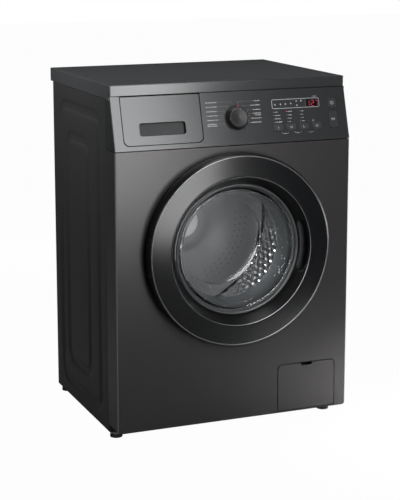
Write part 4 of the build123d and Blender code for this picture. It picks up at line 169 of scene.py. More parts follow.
@dataclass(frozen=True)
class Finish:
    """One procedural finish of the machine."""

    name: str
    slot: str
    texture: Texture
    color: Color
    roughness: float
    metallic: float = 0.0
    specular: float = 0.5
    variation: float = 0.12
    grain: float = 900.0
    relief: float = 0.04
    glow: float = 0.0
    stretch: tuple[float, float, float] = (1.0, 1.0, 1.0)

    def material(self) -> bpy.types.Material:
        """Build the finish's material once.

        Returns:
            The material, from the file if it is already there.
        """
        label = f"finish_{self.name}"
        known = bpy.data.materials.get(label)
        if known is not None:
            return known
        made = bpy.data.materials.new(label)
        made.use_nodes = True
        graph = ShaderGraph(made.node_tree)
        if self.texture is Texture.GLASS:
            surface = self._glass(graph)
        else:
            surface = self._solid(graph)
        graph.node("OutputMaterial", Surface=surface)
        return made

    def _glass(self, graph: ShaderGraph) -> Value:
        """Clear glass that lets light through to what is behind it.

        Args:
            graph: The material's graph.

        Returns:
            The surface shader.
        """
        clear = graph.node(
            "BsdfPrincipled", Base_Color=(*self.color, 1.0), Roughness=self.roughness, IOR=1.45,
            Transmission_Weight=1.0, Specular_IOR_Level=self.specular,
        )
        pass_through = graph.node("BsdfTransparent", Color=(*self.color, 1.0))
        shadow = graph.node("LightPath", out="Is Shadow Ray")
        return graph.node("MixShader", in_0=shadow, in_1=clear, in_2=pass_through)

    def _solid(self, graph: ShaderGraph) -> Value:
        """Opaque finish with colour, roughness and relief from its texture.

        Args:
            graph: The material's graph.

        Returns:
            The surface shader.
        """
        spot = graph.place(self.stretch)
        fine = graph.node("TexNoise", Vector=spot, Scale=self.grain, Detail=3.0, Roughness=0.6)
        broad = graph.node("TexNoise", Vector=spot, Scale=self.grain / 60.0, Detail=4.0, Roughness=0.55)
        if self.texture is Texture.PAINT:
            flake = graph.node("TexVoronoi", {"feature": "F1"}, out="Color", Vector=spot, Scale=self.grain)
            tint = graph.node("SeparateColor", Color=flake) * 0.6 + broad * 0.4
        elif self.texture is Texture.CAST:
            tint = broad
        else:
            tint = fine * 0.5 + broad * 0.5
        low = tuple(c * (1.0 - self.variation) for c in self.color)
        high = tuple(c * (1.0 + self.variation) for c in self.color)
        rough = broad * (0.5 * self.roughness * self.variation) + (fine * 0.02 + self.roughness * 0.97)
        sockets: dict[str, Any] = {
            "Base_Color": graph.blend(tint, low, high),
            "Roughness": rough,
            "Metallic": self.metallic,
            "Specular_IOR_Level": self.specular,
        }
        if self.relief > 0.0:
            height = fine * 0.7 + broad * 0.3
            sockets["Normal"] = graph.node("Bump", Height=height, Strength=self.relief, Distance=0.0004)
        if self.glow > 0.0:
            sockets["Emission_Color"] = (*self.color, 1.0)
            sockets["Emission_Strength"] = self.glow
        return graph.node("BsdfPrincipled", **sockets)


class Finishes:
    """The machine's finishes by use."""

    FRONT = Finish("front_paint", "panel_paint", Texture.PAINT, (0.029, 0.0273, 0.0276), 0.29, 0.35, 0.42,
                   grain=2600.0, relief=0.01)
    # Lighter paint on the front panel's bent side edges: a painted highlight where the bends catch light.
    FRONT_BEND_HIGHLIGHT = Finish("front_bend_highlight", "panel_paint", Texture.PAINT, (0.12, 0.116, 0.116), 0.42, 0.5, 0.6,
                        grain=2600.0, relief=0.0)
    SIDE = Finish("side_paint", "panel_paint", Texture.PAINT, (0.021, 0.0212, 0.0214), 0.46, 0.2, 0.35,
                  grain=2600.0, relief=0.02)
    TOP = Finish("top_board", "top_grey", Texture.PAINT, (0.034, 0.036, 0.038), 0.44, 0.3, 0.4,
                 grain=2000.0, relief=0.015)
    TOP_EDGE = Finish("top_edge", "top_grey", Texture.PAINT, (0.030, 0.0312, 0.0325), 0.23, 0.35, 0.6,
                      grain=2800.0, relief=0.01)
    FASCIA = Finish("fascia_metallic", "fascia_grey", Texture.PAINT, (0.023, 0.0242, 0.0255), 0.22, 0.35, 0.55,
                    grain=2800.0, relief=0.01)
    BUTTON = Finish("button_plastic", "button_grey", Texture.MOULDED, (0.013, 0.0136, 0.0142), 0.36, 0.0, 0.3)
    BLACK = Finish("black_moulding", "black_plastic", Texture.MOULDED, (0.012, 0.012, 0.013), 0.5)
    DOOR = Finish("door_gloss", "door_black", Texture.GLOSS, (0.0042, 0.0043, 0.0045), 0.28, 0.0, 0.14,
                  grain=600.0, relief=0.004)
    DOOR_FACE = Finish("door_face", "door_black", Texture.GLOSS, (0.0042, 0.0045, 0.005), 0.21, 0.0, 0.34,
                       grain=600.0, relief=0.004)
    # Pale metal for thin lines on the door ring's edges: a painted highlight where the edges catch light, which also
    # reflects the lamps.
    EDGE = Finish("edge_line", "bright_trim", Texture.BRUSHED, (0.15, 0.153, 0.158), 0.3, 0.8, relief=0.0)
    RIM = Finish("bright_rim", "bright_trim", Texture.BRUSHED, (0.055, 0.057, 0.06), 0.36, 0.5, relief=0.01)
    GLASS = Finish("bowl_glass", "clear_glass", Texture.GLASS, (0.93, 0.945, 0.95), 0.0, specular=0.2)
    SEAL = Finish("seal_rubber", "seal_rubber", Texture.RUBBER, (0.018, 0.019, 0.0205), 0.5, 0.0, 0.35, grain=1400.0)
    DRUM = Finish("drum_steel", "stainless", Texture.BRUSHED, (0.27, 0.274, 0.278), 0.11, 1.0, grain=500.0,
                  relief=0.02)
    DRUM_BACK = Finish("drum_back_steel", "stainless", Texture.BRUSHED, (0.2, 0.2, 0.204), 0.54, 1.0, grain=500.0,
                       relief=0.02)
    LIFTER = Finish("lifter_plastic", "pale_plastic", Texture.MOULDED, (0.075, 0.077, 0.08), 0.4)
    # Dark discs and bars that stand for holes and screw slots: painted shade, not real openings.
    HOLE_SHADE = Finish("hole_shade", "black_plastic", Texture.MOULDED, (0.006, 0.006, 0.006), 0.7)
    DIAL = Finish("dial_black", "dial_black", Texture.GLOSS, (0.009, 0.009, 0.0095), 0.4, 0.0, 0.25, grain=900.0,
                  relief=0.0)
    DIAL_EDGE = Finish("dial_edge", "dial_black", Texture.BRUSHED, (0.09, 0.092, 0.095), 0.4, 0.7, relief=0.0)
    RECESS = Finish("recess_plastic", "fascia_grey", Texture.MOULDED, (0.030, 0.031, 0.032), 0.55, 0.0, 0.2)
    LEADER = Finish("leader_print", "fascia_grey", Texture.INK, (0.17, 0.175, 0.18), 0.5, relief=0.0)
    DISPLAY = Finish("display_gloss", "display_black", Texture.GLOSS, (0.003, 0.003, 0.0035), 0.14, relief=0.0)
    PRINT = Finish("pale_print", "fascia_grey", Texture.INK, (0.40, 0.405, 0.41), 0.5, relief=0.0)
    SILVER = Finish("silver_line", "bright_trim", Texture.BRUSHED, (0.36, 0.37, 0.38), 0.4, 0.8, relief=0.0)
    RED = Finish("red_light", "display_black", Texture.LAMP, (0.55, 0.045, 0.075), 0.4, glow=0.55, relief=0.0)
    PALE = Finish("pale_moulding", "pale_plastic", Texture.MOULDED, (0.62, 0.63, 0.64), 0.45)
    BLUE = Finish("cap_moulding", "pale_plastic", Texture.MOULDED, (0.10, 0.20, 0.36), 0.4)
    FOOT = Finish("foot_rubber", "foot_rubber", Texture.RUBBER, (0.012, 0.012, 0.012), 0.6)
    GALVANISED = Finish("galvanised_sheet", "rear_steel", Texture.CAST, (0.30, 0.31, 0.32), 0.42, 0.75, grain=1500.0,
                        variation=0.2, relief=0.02)
    STEEL = Finish("bare_steel", "bare_steel", Texture.BRUSHED, (0.45, 0.45, 0.45), 0.3, 1.0,
                   stretch=(1.0, 30.0, 1.0))
    CAST_METAL = Finish("cast_alloy", "cast_aluminium", Texture.CAST, (0.42, 0.42, 0.42), 0.5, 0.9, relief=0.2)
    WEIGHT = Finish("cast_weight", "cast_weight", Texture.CAST, (0.20, 0.20, 0.19), 0.85, relief=0.4)


def add_bevel(piece: bpy.types.Object, width: float) -> None:
    """Round a piece's sharp edges with a Bevel modifier.

    Args:
        piece: The object.
        width: Bevel width in millimetres.
    """
    made = piece.modifiers.new("rounded_edges", "BEVEL")
    made.width = width * MM
    made.segments = 2
    made.limit_method = "ANGLE"
    made.angle_limit = radians(BEVEL_ANGLE)
    level = piece.modifiers.new("even_faces", "WEIGHTED_NORMAL")
    level.keep_sharp = True
    level.weight = 100


def add_wall(piece: bpy.types.Object, thickness: float) -> None:
    """Give a sheet its thickness, grown inwards from its face.

    Args:
        piece: The sheet.
        thickness: Thickness in millimetres.
    """
    made = piece.modifiers.new("wall", "SOLIDIFY")
    made.thickness = thickness * MM
    made.offset = -1.0
    made.use_even_offset = True


def make_piece(
    name: str,
    shape: bmesh.types.BMesh,
    finish: Finish,
    body: str,
    nodes: Iterable[str] = (),
    crease: float = 32.0,
) -> bpy.types.Object:
    """Turn a bmesh in millimetres into a piece that rides on a body.

    Args:
        name: Piece name.
        shape: The finished bmesh, which is freed.
        finish: Its finish.
        body: CAD body that it rides on.
        nodes: CAD nodes that it replaces.
        crease: Edges sharper than this many degrees stay sharp.

    Returns:
        The piece.
    """
    bmesh.ops.scale(shape, vec=(MM, MM, MM), verts=shape.verts)
    mesh = bpy.data.meshes.new(name)
    shape.to_mesh(mesh)
    shape.free()
    mesh.polygons.foreach_set("use_smooth", [True] * len(mesh.polygons))
    mesh.set_sharp_from_angle(angle=radians(crease))
    piece = bpy.data.objects.new(name, mesh)
    bpy.context.scene.collection.objects.link(piece)
    mesh.materials.append(finish.material())
    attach(piece, body)
    if nodes:
        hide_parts(*nodes)
    log.info("%s on %s: %d faces", name, body, len(mesh.polygons))
    return piece


def paint_faces(
    piece: bpy.types.Object, finish: Finish, chosen: Callable[[bpy.types.MeshPolygon], bool]
) -> None:
    """Give some of a piece's faces a second finish.

    Args:
        piece: The piece.
        finish: The second finish.
        chosen: Test that the faces pass.
    """
    piece.data.materials.append(finish.material())
    for face in piece.data.polygons:
        if chosen(face):
            face.material_index = 1


def refined(node: str, finish: Finish, body: str, bevel: float = 0.0, name: str = "") -> bpy.types.Object:
    """Copy of a rigid CAD node with joined faces, smooth curves and rounded edges.

    Args:
        node: The CAD node that it replaces.
        finish: Its finish.
        body: CAD body that it rides on.
        bevel: Width of the edge rounding in millimetres, or 0.
        name: Piece name, if not made from the node's.

    Returns:
        The piece.
    """
    shape = bmesh.new()
    shape.from_mesh(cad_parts[node].data)
    bmesh.ops.scale(shape, vec=(1 / MM,) * 3, verts=shape.verts)
    bmesh.ops.remove_doubles(shape, verts=shape.verts, dist=0.002)
    bmesh.ops.dissolve_limit(shape, angle_limit=radians(FLAT_ANGLE), verts=shape.verts, edges=shape.edges)
    piece = make_piece(name or f"{node}_finished", shape, finish, body, (node,), crease=28.0)
    if bevel > 0.0:
        add_bevel(piece, bevel)
    return piece


def rounded_ring(
    shape: bmesh.types.BMesh, width: float, height: float, radius: float, place: Matrix, segments: int = 8
) -> list[bmesh.types.BMEdge]:
    """Ring of edges round a rectangle with rounded corners.

    Args:
        shape: Bmesh that gets the ring.
        width: Whole width along the place's X.
        height: Whole height along the place's Y.
        radius: Corner radius.
        place: Where the rectangle's middle goes.
        segments: Steps round each corner.

    Returns:
        The ring's edges.
    """
    before = set(shape.faces)
    corners = bmesh.ops.create_grid(shape, x_segments=1, y_segments=1, size=0.5)["verts"]
    bmesh.ops.scale(shape, vec=(width, height, 1.0), verts=corners)
    bmesh.ops.bevel(
        shape, geom=corners, offset=radius, offset_type="OFFSET", affect="VERTICES", segments=segments,
        profile=0.5, material=-1,
    )
    faces = [f for f in shape.faces if f not in before]
    edges = list(dict.fromkeys(e for f in faces for e in f.edges))  # in order, unlike a set
    verts = list(dict.fromkeys(v for e in edges for v in e.verts))
    bmesh.ops.transform(shape, matrix=place, verts=verts)
    bmesh.ops.delete(shape, geom=faces, context="FACES_ONLY")
    return edges


def loft(shape: bmesh.types.BMesh, rings: Sequence[Sequence[bmesh.types.BMEdge]], cap: bool = True) -> None:
    """Join rings in order with faces, and close the last one.

    Args:
        shape: Bmesh that holds the rings.
        rings: Rings of the same number of edges.
        cap: Whether the last ring gets a face.
    """
    for first, second in zip(rings, rings[1:]):
        bmesh.ops.bridge_loops(shape, edges=[*first, *second])
    if cap:
        bmesh.ops.edgeloop_fill(shape, edges=list(rings[-1]))


def turned(
    profile: Sequence[Point], place: Matrix, steps: int = 96, closed: bool = False
) -> bmesh.types.BMesh:
    """Body turned from a profile.

    Args:
        profile: Points as radius and height along the axis.
        place: Matrix that puts the axis, local Z, in the model.
        steps: Steps round the axis.
        closed: Whether the profile's last point joins its first.

    Returns:
        A new bmesh with its faces outwards.
    """
    shape = bmesh.new()
    verts = [shape.verts.new((r, 0.0, h)) for r, h in profile]
    pairs = list(zip(verts, verts[1:]))
    if closed:
        pairs.append((verts[-1], verts[0]))
    edges = [shape.edges.new(pair) for pair in pairs]
    bmesh.ops.spin(
        shape, geom=[*verts, *edges], cent=(0, 0, 0), axis=(0, 0, 1), angle=2 * pi, steps=steps, use_merge=True,
        use_duplicate=False,
    )
    bmesh.ops.remove_doubles(shape, verts=shape.verts, dist=0.001)
    bmesh.ops.recalc_face_normals(shape, faces=shape.faces)
    bmesh.ops.transform(shape, matrix=place, verts=shape.verts)
    return shape


def frame_matrix(origin: Sequence[float], across: Sequence[float], up: Sequence[float]) -> Matrix:
    """Matrix from an origin and two directions.

    Args:
        origin: Where the matrix puts the origin.
        across: Direction of X.
        up: Direction of Y.

    Returns:
        The matrix, whose Z is the cross product of X and Y.
    """
    x_axis, y_axis = Vector(across).normalized(), Vector(up).normalized()
    z_axis = x_axis.cross(y_axis)
    made = Matrix((x_axis, y_axis, z_axis)).transposed().to_4x4()
    made.translation = Vector(origin)
    return made


def mouth_axis() -> Matrix:
    """Axis of door, gasket and drum: local Z points to the back along +Y."""
    return frame_matrix((0, 0, MOUTH_Z), (1, 0, 0), (0, 0, -1))


@dataclass
class FaceLayout:
    """Sloped control face: positions are across the machine and down the face."""

    top: tuple[float, float, float] = (0.0, -192.0, 824.0)
    up: tuple[float, float, float] = (0.0, 0.28409, 0.95880)
    dial: Point = (9.0, 64.5)

    def spot(self, x: float, s: float, lift: float = 0.0, turn: float = 0.0) -> Matrix:
        """Place on the face.

        Args:
            x: Position across the machine.
            s: Distance down the face from its top edge.
            lift: Height over the face.
            turn: Turn in the face, in degrees.

        Returns:
            Matrix whose X is across, Y up the face and Z outwards.
        """
        face = frame_matrix(self.top, (1, 0, 0), self.up)
        return face @ Matrix.Translation((x, -s, lift)) @ Matrix.Rotation(radians(turn), 4, "Z")


@dataclass
class Worktop:
    """Top plate with a raised rim round its field."""

    width: float = 600.0
    depth: float = 462.0
    mid_y: float = 39.0
    low_z: float = 817.0
    high_z: float = 850.0
    corner: float = 4.0
    edge_round: float = 2.5
    rim: float = 20.0
    field_drop: float = 1.2
    front_rise: float = 7.0
    front_gap: float = 1.6
    front_step_y: float = -163.0
    lip: float = 0.4

    def build(self) -> None:
        """Loft the plate from rounded rings and cut its front skirt higher."""
        shape = bmesh.new()
        steps = [(30.0, 13.0), (30.0, 0.0), (0.8, 0.0), (0.0, 0.8)]
        edge = self.edge_round
        height = self.high_z - self.low_z
        for i in range(8):
            angle = i / 7 * pi / 2
            steps.append((edge * (1 - cos(angle)), height - edge + edge * sin(angle)))
        steps += [(self.rim, height), (self.rim + 0.7, height - 0.25), (self.rim + 1.6, height - 0.95),
                  (self.rim + 2.4, height - self.field_drop)]
        rings = []
        for inset, lift in steps:
            place = Matrix.Translation((0, self.mid_y, self.low_z + lift))
            radius = max(self.corner - inset, 0.9)
            rings.append(rounded_ring(shape, self.width - 2 * inset, self.depth - 2 * inset, radius, place))
        loft(shape, rings)
        bmesh.ops.edgeloop_fill(shape, edges=rings[0])
        bmesh.ops.recalc_face_normals(shape, faces=shape.faces)
        for at, axis in (((0, self.front_step_y, 0), (0, 1, 0)), ((0, 0, self.low_z + self.front_rise), (0, 0, 1))):
            bmesh.ops.bisect_plane(shape, geom=[*shape.verts, *shape.edges, *shape.faces], plane_co=at, plane_no=axis)
        low = self.low_z + self.front_rise - 0.01
        skirt = [v for v in shape.verts if v.co.y < self.front_step_y - 0.01 and v.co.z < low]
        for vert in skirt:
            vert.co.z = self.low_z + self.front_rise + self.front_gap
        bmesh.ops.dissolve_degenerate(shape, dist=0.001, edges=shape.edges)
        front = self.mid_y - self.depth / 2
        for sign in (-1, 1):
            lip = (self.lip, self.front_step_y - front, self.front_rise + 0.4)
            out = self.width / 2 + self.lip / 2 - 0.1
            along = (self.front_step_y + front) / 2 + 0.2
            place = Matrix.Translation((sign * out, along, self.low_z + lip[2] / 2))
            bmesh.ops.create_cube(shape, size=1.0, matrix=place @ Matrix.Diagonal((*lip, 1.0)))
        piece = make_piece("top_plate_board", shape, Finishes.TOP, "cabinet", ("top_plate",), crease=40.0)
        paint_faces(piece, Finishes.TOP_EDGE, lambda face: face.normal.y < -0.35)


@dataclass
class SidePanel:
    """Folded side sheet with two pressed grooves."""

    name: str
    sign: float
    outer_x: float = 297.0
    front_y: float = -159.0
    back_y: float = 259.0
    low_z: float = 14.0
    high_z: float = 817.0
    fold: float = 4.0
    flange: float = 23.5
    groove_width: float = 33.0
    corner: float = 50.0
    margins: tuple = ((32.5, 25.5, 40.0, 46.0), (106.0, 87.0, 119.0, 98.0))
    flanks: tuple = ((0.0, 0.0), (2.2, 0.25), (4.6, 1.4), (7.2, 3.0), (9.8, 3.8), (12.5, 4.0))

    def ring(self, shape: bmesh.types.BMesh, margins: Sequence[float], inset: float, depth: float,
             corner: float) -> list[bmesh.types.BMEdge]:
        """One ring of the panel.

        Args:
            shape: Bmesh that gets the ring.
            margins: Distances from the panel's top, bottom, front and back edges.
            inset: Further distance inwards on every side.
            depth: How far the ring lies behind the panel's face.
            corner: Corner radius.

        Returns:
            The ring's edges.
        """
        top, bottom, front, back = margins
        y0, y1 = self.front_y + front + inset, self.back_y - back - inset
        z0, z1 = self.low_z + bottom + inset, self.high_z - top - inset
        spot = ((self.sign * (self.outer_x - depth)), (y0 + y1) / 2, (z0 + z1) / 2)
        place = frame_matrix(spot, (0, self.sign, 0), (0, 0, 1))
        return rounded_ring(shape, y1 - y0, z1 - z0, corner, place, 10)

    def build(self) -> None:
        """Loft the folds, the grooves and the flat fields from the edge inwards."""
        shape = bmesh.new()
        flat = (0.0, 0.0, 0.0, 0.0)
        rings = [self.ring(shape, flat, 0.0, self.flange, 1.0)]
        for i in range(7):
            angle = i / 6 * pi / 2
            rings.append(self.ring(shape, flat, self.fold * (1 - cos(angle)), self.fold * (1 - sin(angle)), 1.0))
        for margins in self.margins:
            for inset, depth in self.flanks:
                rings.append(self.ring(shape, margins, inset, depth, self.corner - inset * 0.6))
            for inset, depth in reversed(self.flanks):
                rings.append(self.ring(shape, margins, self.groove_width - inset, depth,
                                       self.corner - self.groove_width + inset * 0.6))
        loft(shape, rings)
        ends = [f for f in shape.faces if abs(f.normal.z) > 0.9]
        bmesh.ops.delete(shape, geom=ends, context="FACES")
        bmesh.ops.recalc_face_normals(shape, faces=shape.faces)
        if sum(f.normal.x * f.calc_area() for f in shape.faces) * self.sign < 0:
            bmesh.ops.reverse_faces(shape, faces=shape.faces)
        piece = make_piece(f"{self.name}_pressing", shape, Finishes.SIDE, "cabinet", (self.name,), crease=50.0)
        add_wall(piece, 1.2)


@dataclass
class FacePrint:
    """Printed marks on the control face or on a cap over it, gathered into one piece per finish."""

    layout: FaceLayout
    over: float = 0.0
    lift: float = 0.05
    shapes: dict = field(default_factory=dict)

    def shape(self, finish: Finish) -> bmesh.types.BMesh:
        """The bmesh that gathers the marks of one finish."""
        return self.shapes.setdefault(finish.name, (finish, bmesh.new()))[1]

    def bar(self, x: float, s: float, width: float, height: float, turn: float = 0.0,
            finish: Finish = Finishes.PRINT) -> None:
        """Flat bar with its middle at a place on the face.

        Args:
            x: Position across the machine.
            s: Distance down the face.
            width: Length across before the turn.
            height: Height up the face before the turn.
            turn: Turn in degrees.
            finish: Its ink.
        """
        place = self.layout.spot(x, s, self.lift + self.over, turn) @ Matrix.Diagonal((width, height, 1.0, 1.0))
        bmesh.ops.create_grid(self.shape(finish), x_segments=1, y_segments=1, size=0.5, matrix=place)

    def line(self, start: Point, end: Point, width: float, finish: Finish = Finishes.PRINT) -> None:
        """Straight line between two places on the face.

        Args:
            start: One end, across and down the face.
            end: The other end.
            width: Line width.
            finish: Its ink.
        """
        run, drop = end[0] - start[0], end[1] - start[1]
        turn = Vector((run, -drop)).angle_signed(Vector((1.0, 0.0)))
        length = (run * run + drop * drop) ** 0.5
        self.bar((start[0] + end[0]) / 2, (start[1] + end[1]) / 2, length, width, turn * 180 / pi, finish)

    def ring(self, x: float, s: float, radius: float, width: float, first: float = 0.0, sweep: float = 360.0) -> None:
        """Arc of a flat ring; angles run clockwise from the top of the face.

        Args:
            x: Position of the middle across the machine.
            s: Position of the middle down the face.
            radius: Middle radius.
            width: Ring width.
            first: Start angle in degrees.
            sweep: Angle in degrees.
        """
        shape = self.shape(Finishes.PRINT)
        place = self.layout.spot(x, s, self.lift + self.over)
        start = Matrix.Rotation(-radians(first), 3, "Z")
        ends = [shape.verts.new(place @ (start @ Vector((0, radius + side, 0)))) for side in (-width / 2, width / 2)]
        edge = shape.edges.new(ends)
        steps = max(6, int(sweep / 8))
        bmesh.ops.spin(
            shape, geom=[*ends, edge], cent=place.translation, axis=place.col[2].to_3d(), angle=-radians(sweep),
            steps=steps, use_merge=sweep >= 360.0, use_duplicate=False,
        )

    def words(self, left: float, s: float, width: float, height: float, seed: int) -> None:
        """Row of short blocks that stands for a small printed label.

        Args:
            left: Left end of the row.
            s: Distance down the face.
            width: Whole length.
            height: Height of the blocks.
            seed: Seed of the blocks' lengths.
        """
        draw = random.Random(seed)
        at = left
        while at < left + width - 0.8:
            size = min(draw.uniform(0.6, 1.2), left + width - at)
            tall = height * draw.choice((0.7, 0.7, 1.0))
            self.bar(at + size / 2, s + (height - tall) / 2, size, tall)
            at += size + (0.5 if draw.random() < 0.85 else 1.3)

    def build(self, body: str, prefix: str) -> None:
        """Make one thin piece of the marks of each ink.

        Args:
            body: CAD body that the pieces ride on.
            prefix: First part of the pieces' names.
        """
        for finish, shape in self.shapes.values():
            bmesh.ops.recalc_face_normals(shape, faces=shape.faces)
            outward = self.layout.spot(0, 0).col[2].to_3d()
            wrong = [f for f in shape.faces if f.normal.dot(outward) < 0]
            bmesh.ops.reverse_faces(shape, faces=wrong)
            piece = make_piece(f"{prefix}_{finish.name}", shape, finish, body)
            add_wall(piece, 0.04)
        self.shapes.clear()


@dataclass(frozen=True)
class LabelColumn:
    """Programme labels on one side of the dial, flush with the column's outer edge.

    Each row has its distance down the face and its length. The second line belongs to one
    row, and has a length and a seed. The first leader's bend can stand off from its tip.
    """

    side: float
    edge: float
    seed: int
    second: tuple[int, float, int]
    first_bend: float
    rows: tuple

    def left(self, width: float) -> float:
        """Left end of a label of this length."""
        return self.edge if self.side < 0 else self.edge - width


@dataclass
class ControlPanel:
    """Moulded control panel with its printed marks, display, dial ring and buttons."""

    layout: FaceLayout
    columns: tuple = (
        LabelColumn(-1.0, -66.0, 20, (5, 26.0, 40), 2.0, rows=(
            (24.0, 30.0), (34.6, 29.0), (45.2, 27.0), (55.4, 28.0), (65.6, 28.5), (75.0, 24.0))),
        LabelColumn(1.0, 73.0, 60, (3, 16.0, 80), 0.0, rows=(
            (24.4, 15.0), (34.6, 26.0), (45.2, 20.0), (54.0, 22.0), (65.6, 25.0), (75.4, 29.0))),
    )
    label_height: float = 2.3
    label_drop: float = 4.2
    label_gap: float = 2.0
    dial_step: float = 25.0
    leader_reach: float = 33.0
    leader_width: float = 0.32
    lamp_reach: float = 29.5
    power: Point = (262.0, 39.0)
    start: Point = (261.0, 78.6)
    options: tuple = (113.9, 147.8, 181.7, 215.6)
    option_s: float = 92.0
    cap_lift: float = 1.4

    def build(self) -> None:
        """Build the shell, the print, the display and the buttons."""
        refined("control_panel", Finishes.FASCIA, "cabinet", 0.7)
        refined("dial_ring", Finishes.DOOR, "cabinet")
        refined("display_window", Finishes.FASCIA, "cabinet", name="display_surround")
        self.programmes()
        self.display()
        self.option_marks()
        self.buttons()

    def programmes(self) -> None:
        """Print the programme labels, their leader lines and the lit position."""
        mark = FacePrint(self.layout)
        x, s = self.layout.dial
        for column in self.columns:
            long_row, second_width, second_seed = column.second
            for i, (row, width) in enumerate(column.rows):
                mark.words(column.left(width), row, width, self.label_height, column.seed + i)
                if i == long_row:
                    mark.words(column.left(second_width), row + self.label_drop, second_width, self.label_height,
                               second_seed)
                angle = radians(column.side * self.dial_step * (i + 0.5))
                tip = (x + self.leader_reach * sin(angle), s - self.leader_reach * cos(angle))
                bend = (tip[0] - (0.0 if i else column.first_bend), row)
                inner = (column.edge - column.side * (width + self.label_gap), row)
                for start, end in ((inner, bend), (bend, tip)):
                    mark.line(start, end, self.leader_width, Finishes.LEADER)
        mark.build("cabinet", "programme_marks")
        angle = radians(self.dial_step / 2)
        lamp = bmesh.new()
        place = self.layout.spot(x + self.lamp_reach * sin(angle), s - self.lamp_reach * cos(angle), 0.3)
        bmesh.ops.create_uvsphere(lamp, u_segments=16, v_segments=8, radius=1.3, matrix=place)
        bmesh.ops.bisect_plane(
            lamp, geom=[*lamp.verts, *lamp.edges, *lamp.faces], plane_co=place.translation,
            plane_no=place.col[2].to_3d(), clear_inner=True,
        )
        make_piece("programme_lamp", lamp, Finishes.RED, "cabinet")

    def display(self) -> None:
        """Black window with red digits inside a silver outline, and a row of small signs."""
        self.plate("display_pane", Finishes.DISPLAY, (209.4, 36.9), (35.4, 19.6),
                   ((0.0, 0.01, 1.6), (0.0, 0.12, 1.6), (0.3, 0.2, 1.6)))
        self.plate("display_outline", Finishes.SILVER, (165.9, 35.5), (125.2, 22.4),
                   ((0.0, 0.0, 4.0), (0.0, 0.22, 4.0), (1.0, 0.22, 3.0), (1.0, 0.0, 3.0)), cap=False)
        mark = FacePrint(self.layout, lift=0.24)
        for x, glyph in ((198.6, "bc"), (211.0, "abged"), (220.8, "abc")):
            self.digit(mark, x, 36.9, glyph)
        for drop in (-2.4, 2.4):
            mark.bar(204.9, 36.9 + drop, 0.9, 0.9, finish=Finishes.RED)
        mark.build("cabinet", "display_digits")
        mark = FacePrint(self.layout)
        for x, s in ((111.5, 37.0), (126.0, 36.5), (139.5, 36.0), (153.5, 35.5), (168.5, 30.5), (181.0, 30.0),
                     (169.0, 40.5)):
            mark.ring(x, s, 1.5, 0.6)
            mark.bar(x, s, 0.7, 2.0)
        mark.words(212.0, 20.5, 12.0, 1.8, 11)
        mark.build("cabinet", "display_signs")

    def plate(self, name: str, finish: Finish, middle: Point, size: Point, steps: Sequence[Sequence[float]],
              cap: bool = True) -> None:
        """Thin plate or frame on the face.

        Args:
            name: Piece name.
            finish: Its finish.
            middle: Place across and down the face.
            size: Width and height.
            steps: Inset, height over the face and corner radius of each ring.
            cap: Whether the last ring is closed.
        """
        shape = bmesh.new()
        loft(shape, [rounded_ring(shape, size[0] - 2 * inset, size[1] - 2 * inset, corner,
                                  self.layout.spot(*middle, lift)) for inset, lift, corner in steps], cap)
        bmesh.ops.recalc_face_normals(shape, faces=shape.faces)
        make_piece(name, shape, finish, "cabinet")

    def digit(self, mark: FacePrint, x: float, s: float, lit: str) -> None:
        """Seven-bar digit.

        Args:
            mark: Print that gathers the bars.
            x: Middle across.
            s: Middle down the face.
            lit: Letters of the lit bars, a to g.
        """
        wide, tall, bar = 6.6, 6.6, 0.62
        bars = {"a": (0, -tall, 0), "g": (0, 0, 0), "d": (0, tall, 0), "b": (wide / 2, -tall / 2, 90),
                "c": (wide / 2, tall / 2, 90), "f": (-wide / 2, -tall / 2, 90), "e": (-wide / 2, tall / 2, 90)}
        for key in lit:
            dx, ds, turn = bars[key]
            mark.bar(x + dx, s + ds, (tall if turn else wide) - 0.9, bar, turn, Finishes.RED)

    def option_marks(self) -> None:
        """Three columns of small labels with lamps over the option buttons, and brackets below."""
        mark = FacePrint(self.layout)
        rows = (54.5, 62.5, 70.5, 78.5)
        for column, (x, widths) in enumerate(((108.0, (9.0, 15.0, 15.5, 17.5)), (143.0, (11.0, 9.0, 8.5, 6.5)),
                                              (178.0, (6.5, 5.0, 6.5, 7.0)))):
            for row, (s, width) in enumerate(zip(rows, widths)):
                mark.words(x, s, width, 2.1, 100 + 10 * column + row)
                lit = column == 1 and row == 0
                mark.bar(x - 3.0, s, 1.6 if lit else 1.0, 1.6 if lit else 1.0,
                         finish=Finishes.RED if lit else Finishes.PRINT)
        mark.ring(208.0, 79.0, 1.7, 0.6)
        for left, right in ((122.0, 140.0), (156.0, 174.0), (190.0, 208.0)):
            mark.line((left, 103.5), (left + 2.5, 106.5), 0.45)
            mark.line((right, 103.5), (right - 2.5, 106.5), 0.45)
            mark.words((left + right) / 2 - 4.5, 106.5, 9.0, 1.9, int(left))
        mark.build("cabinet", "option_marks")

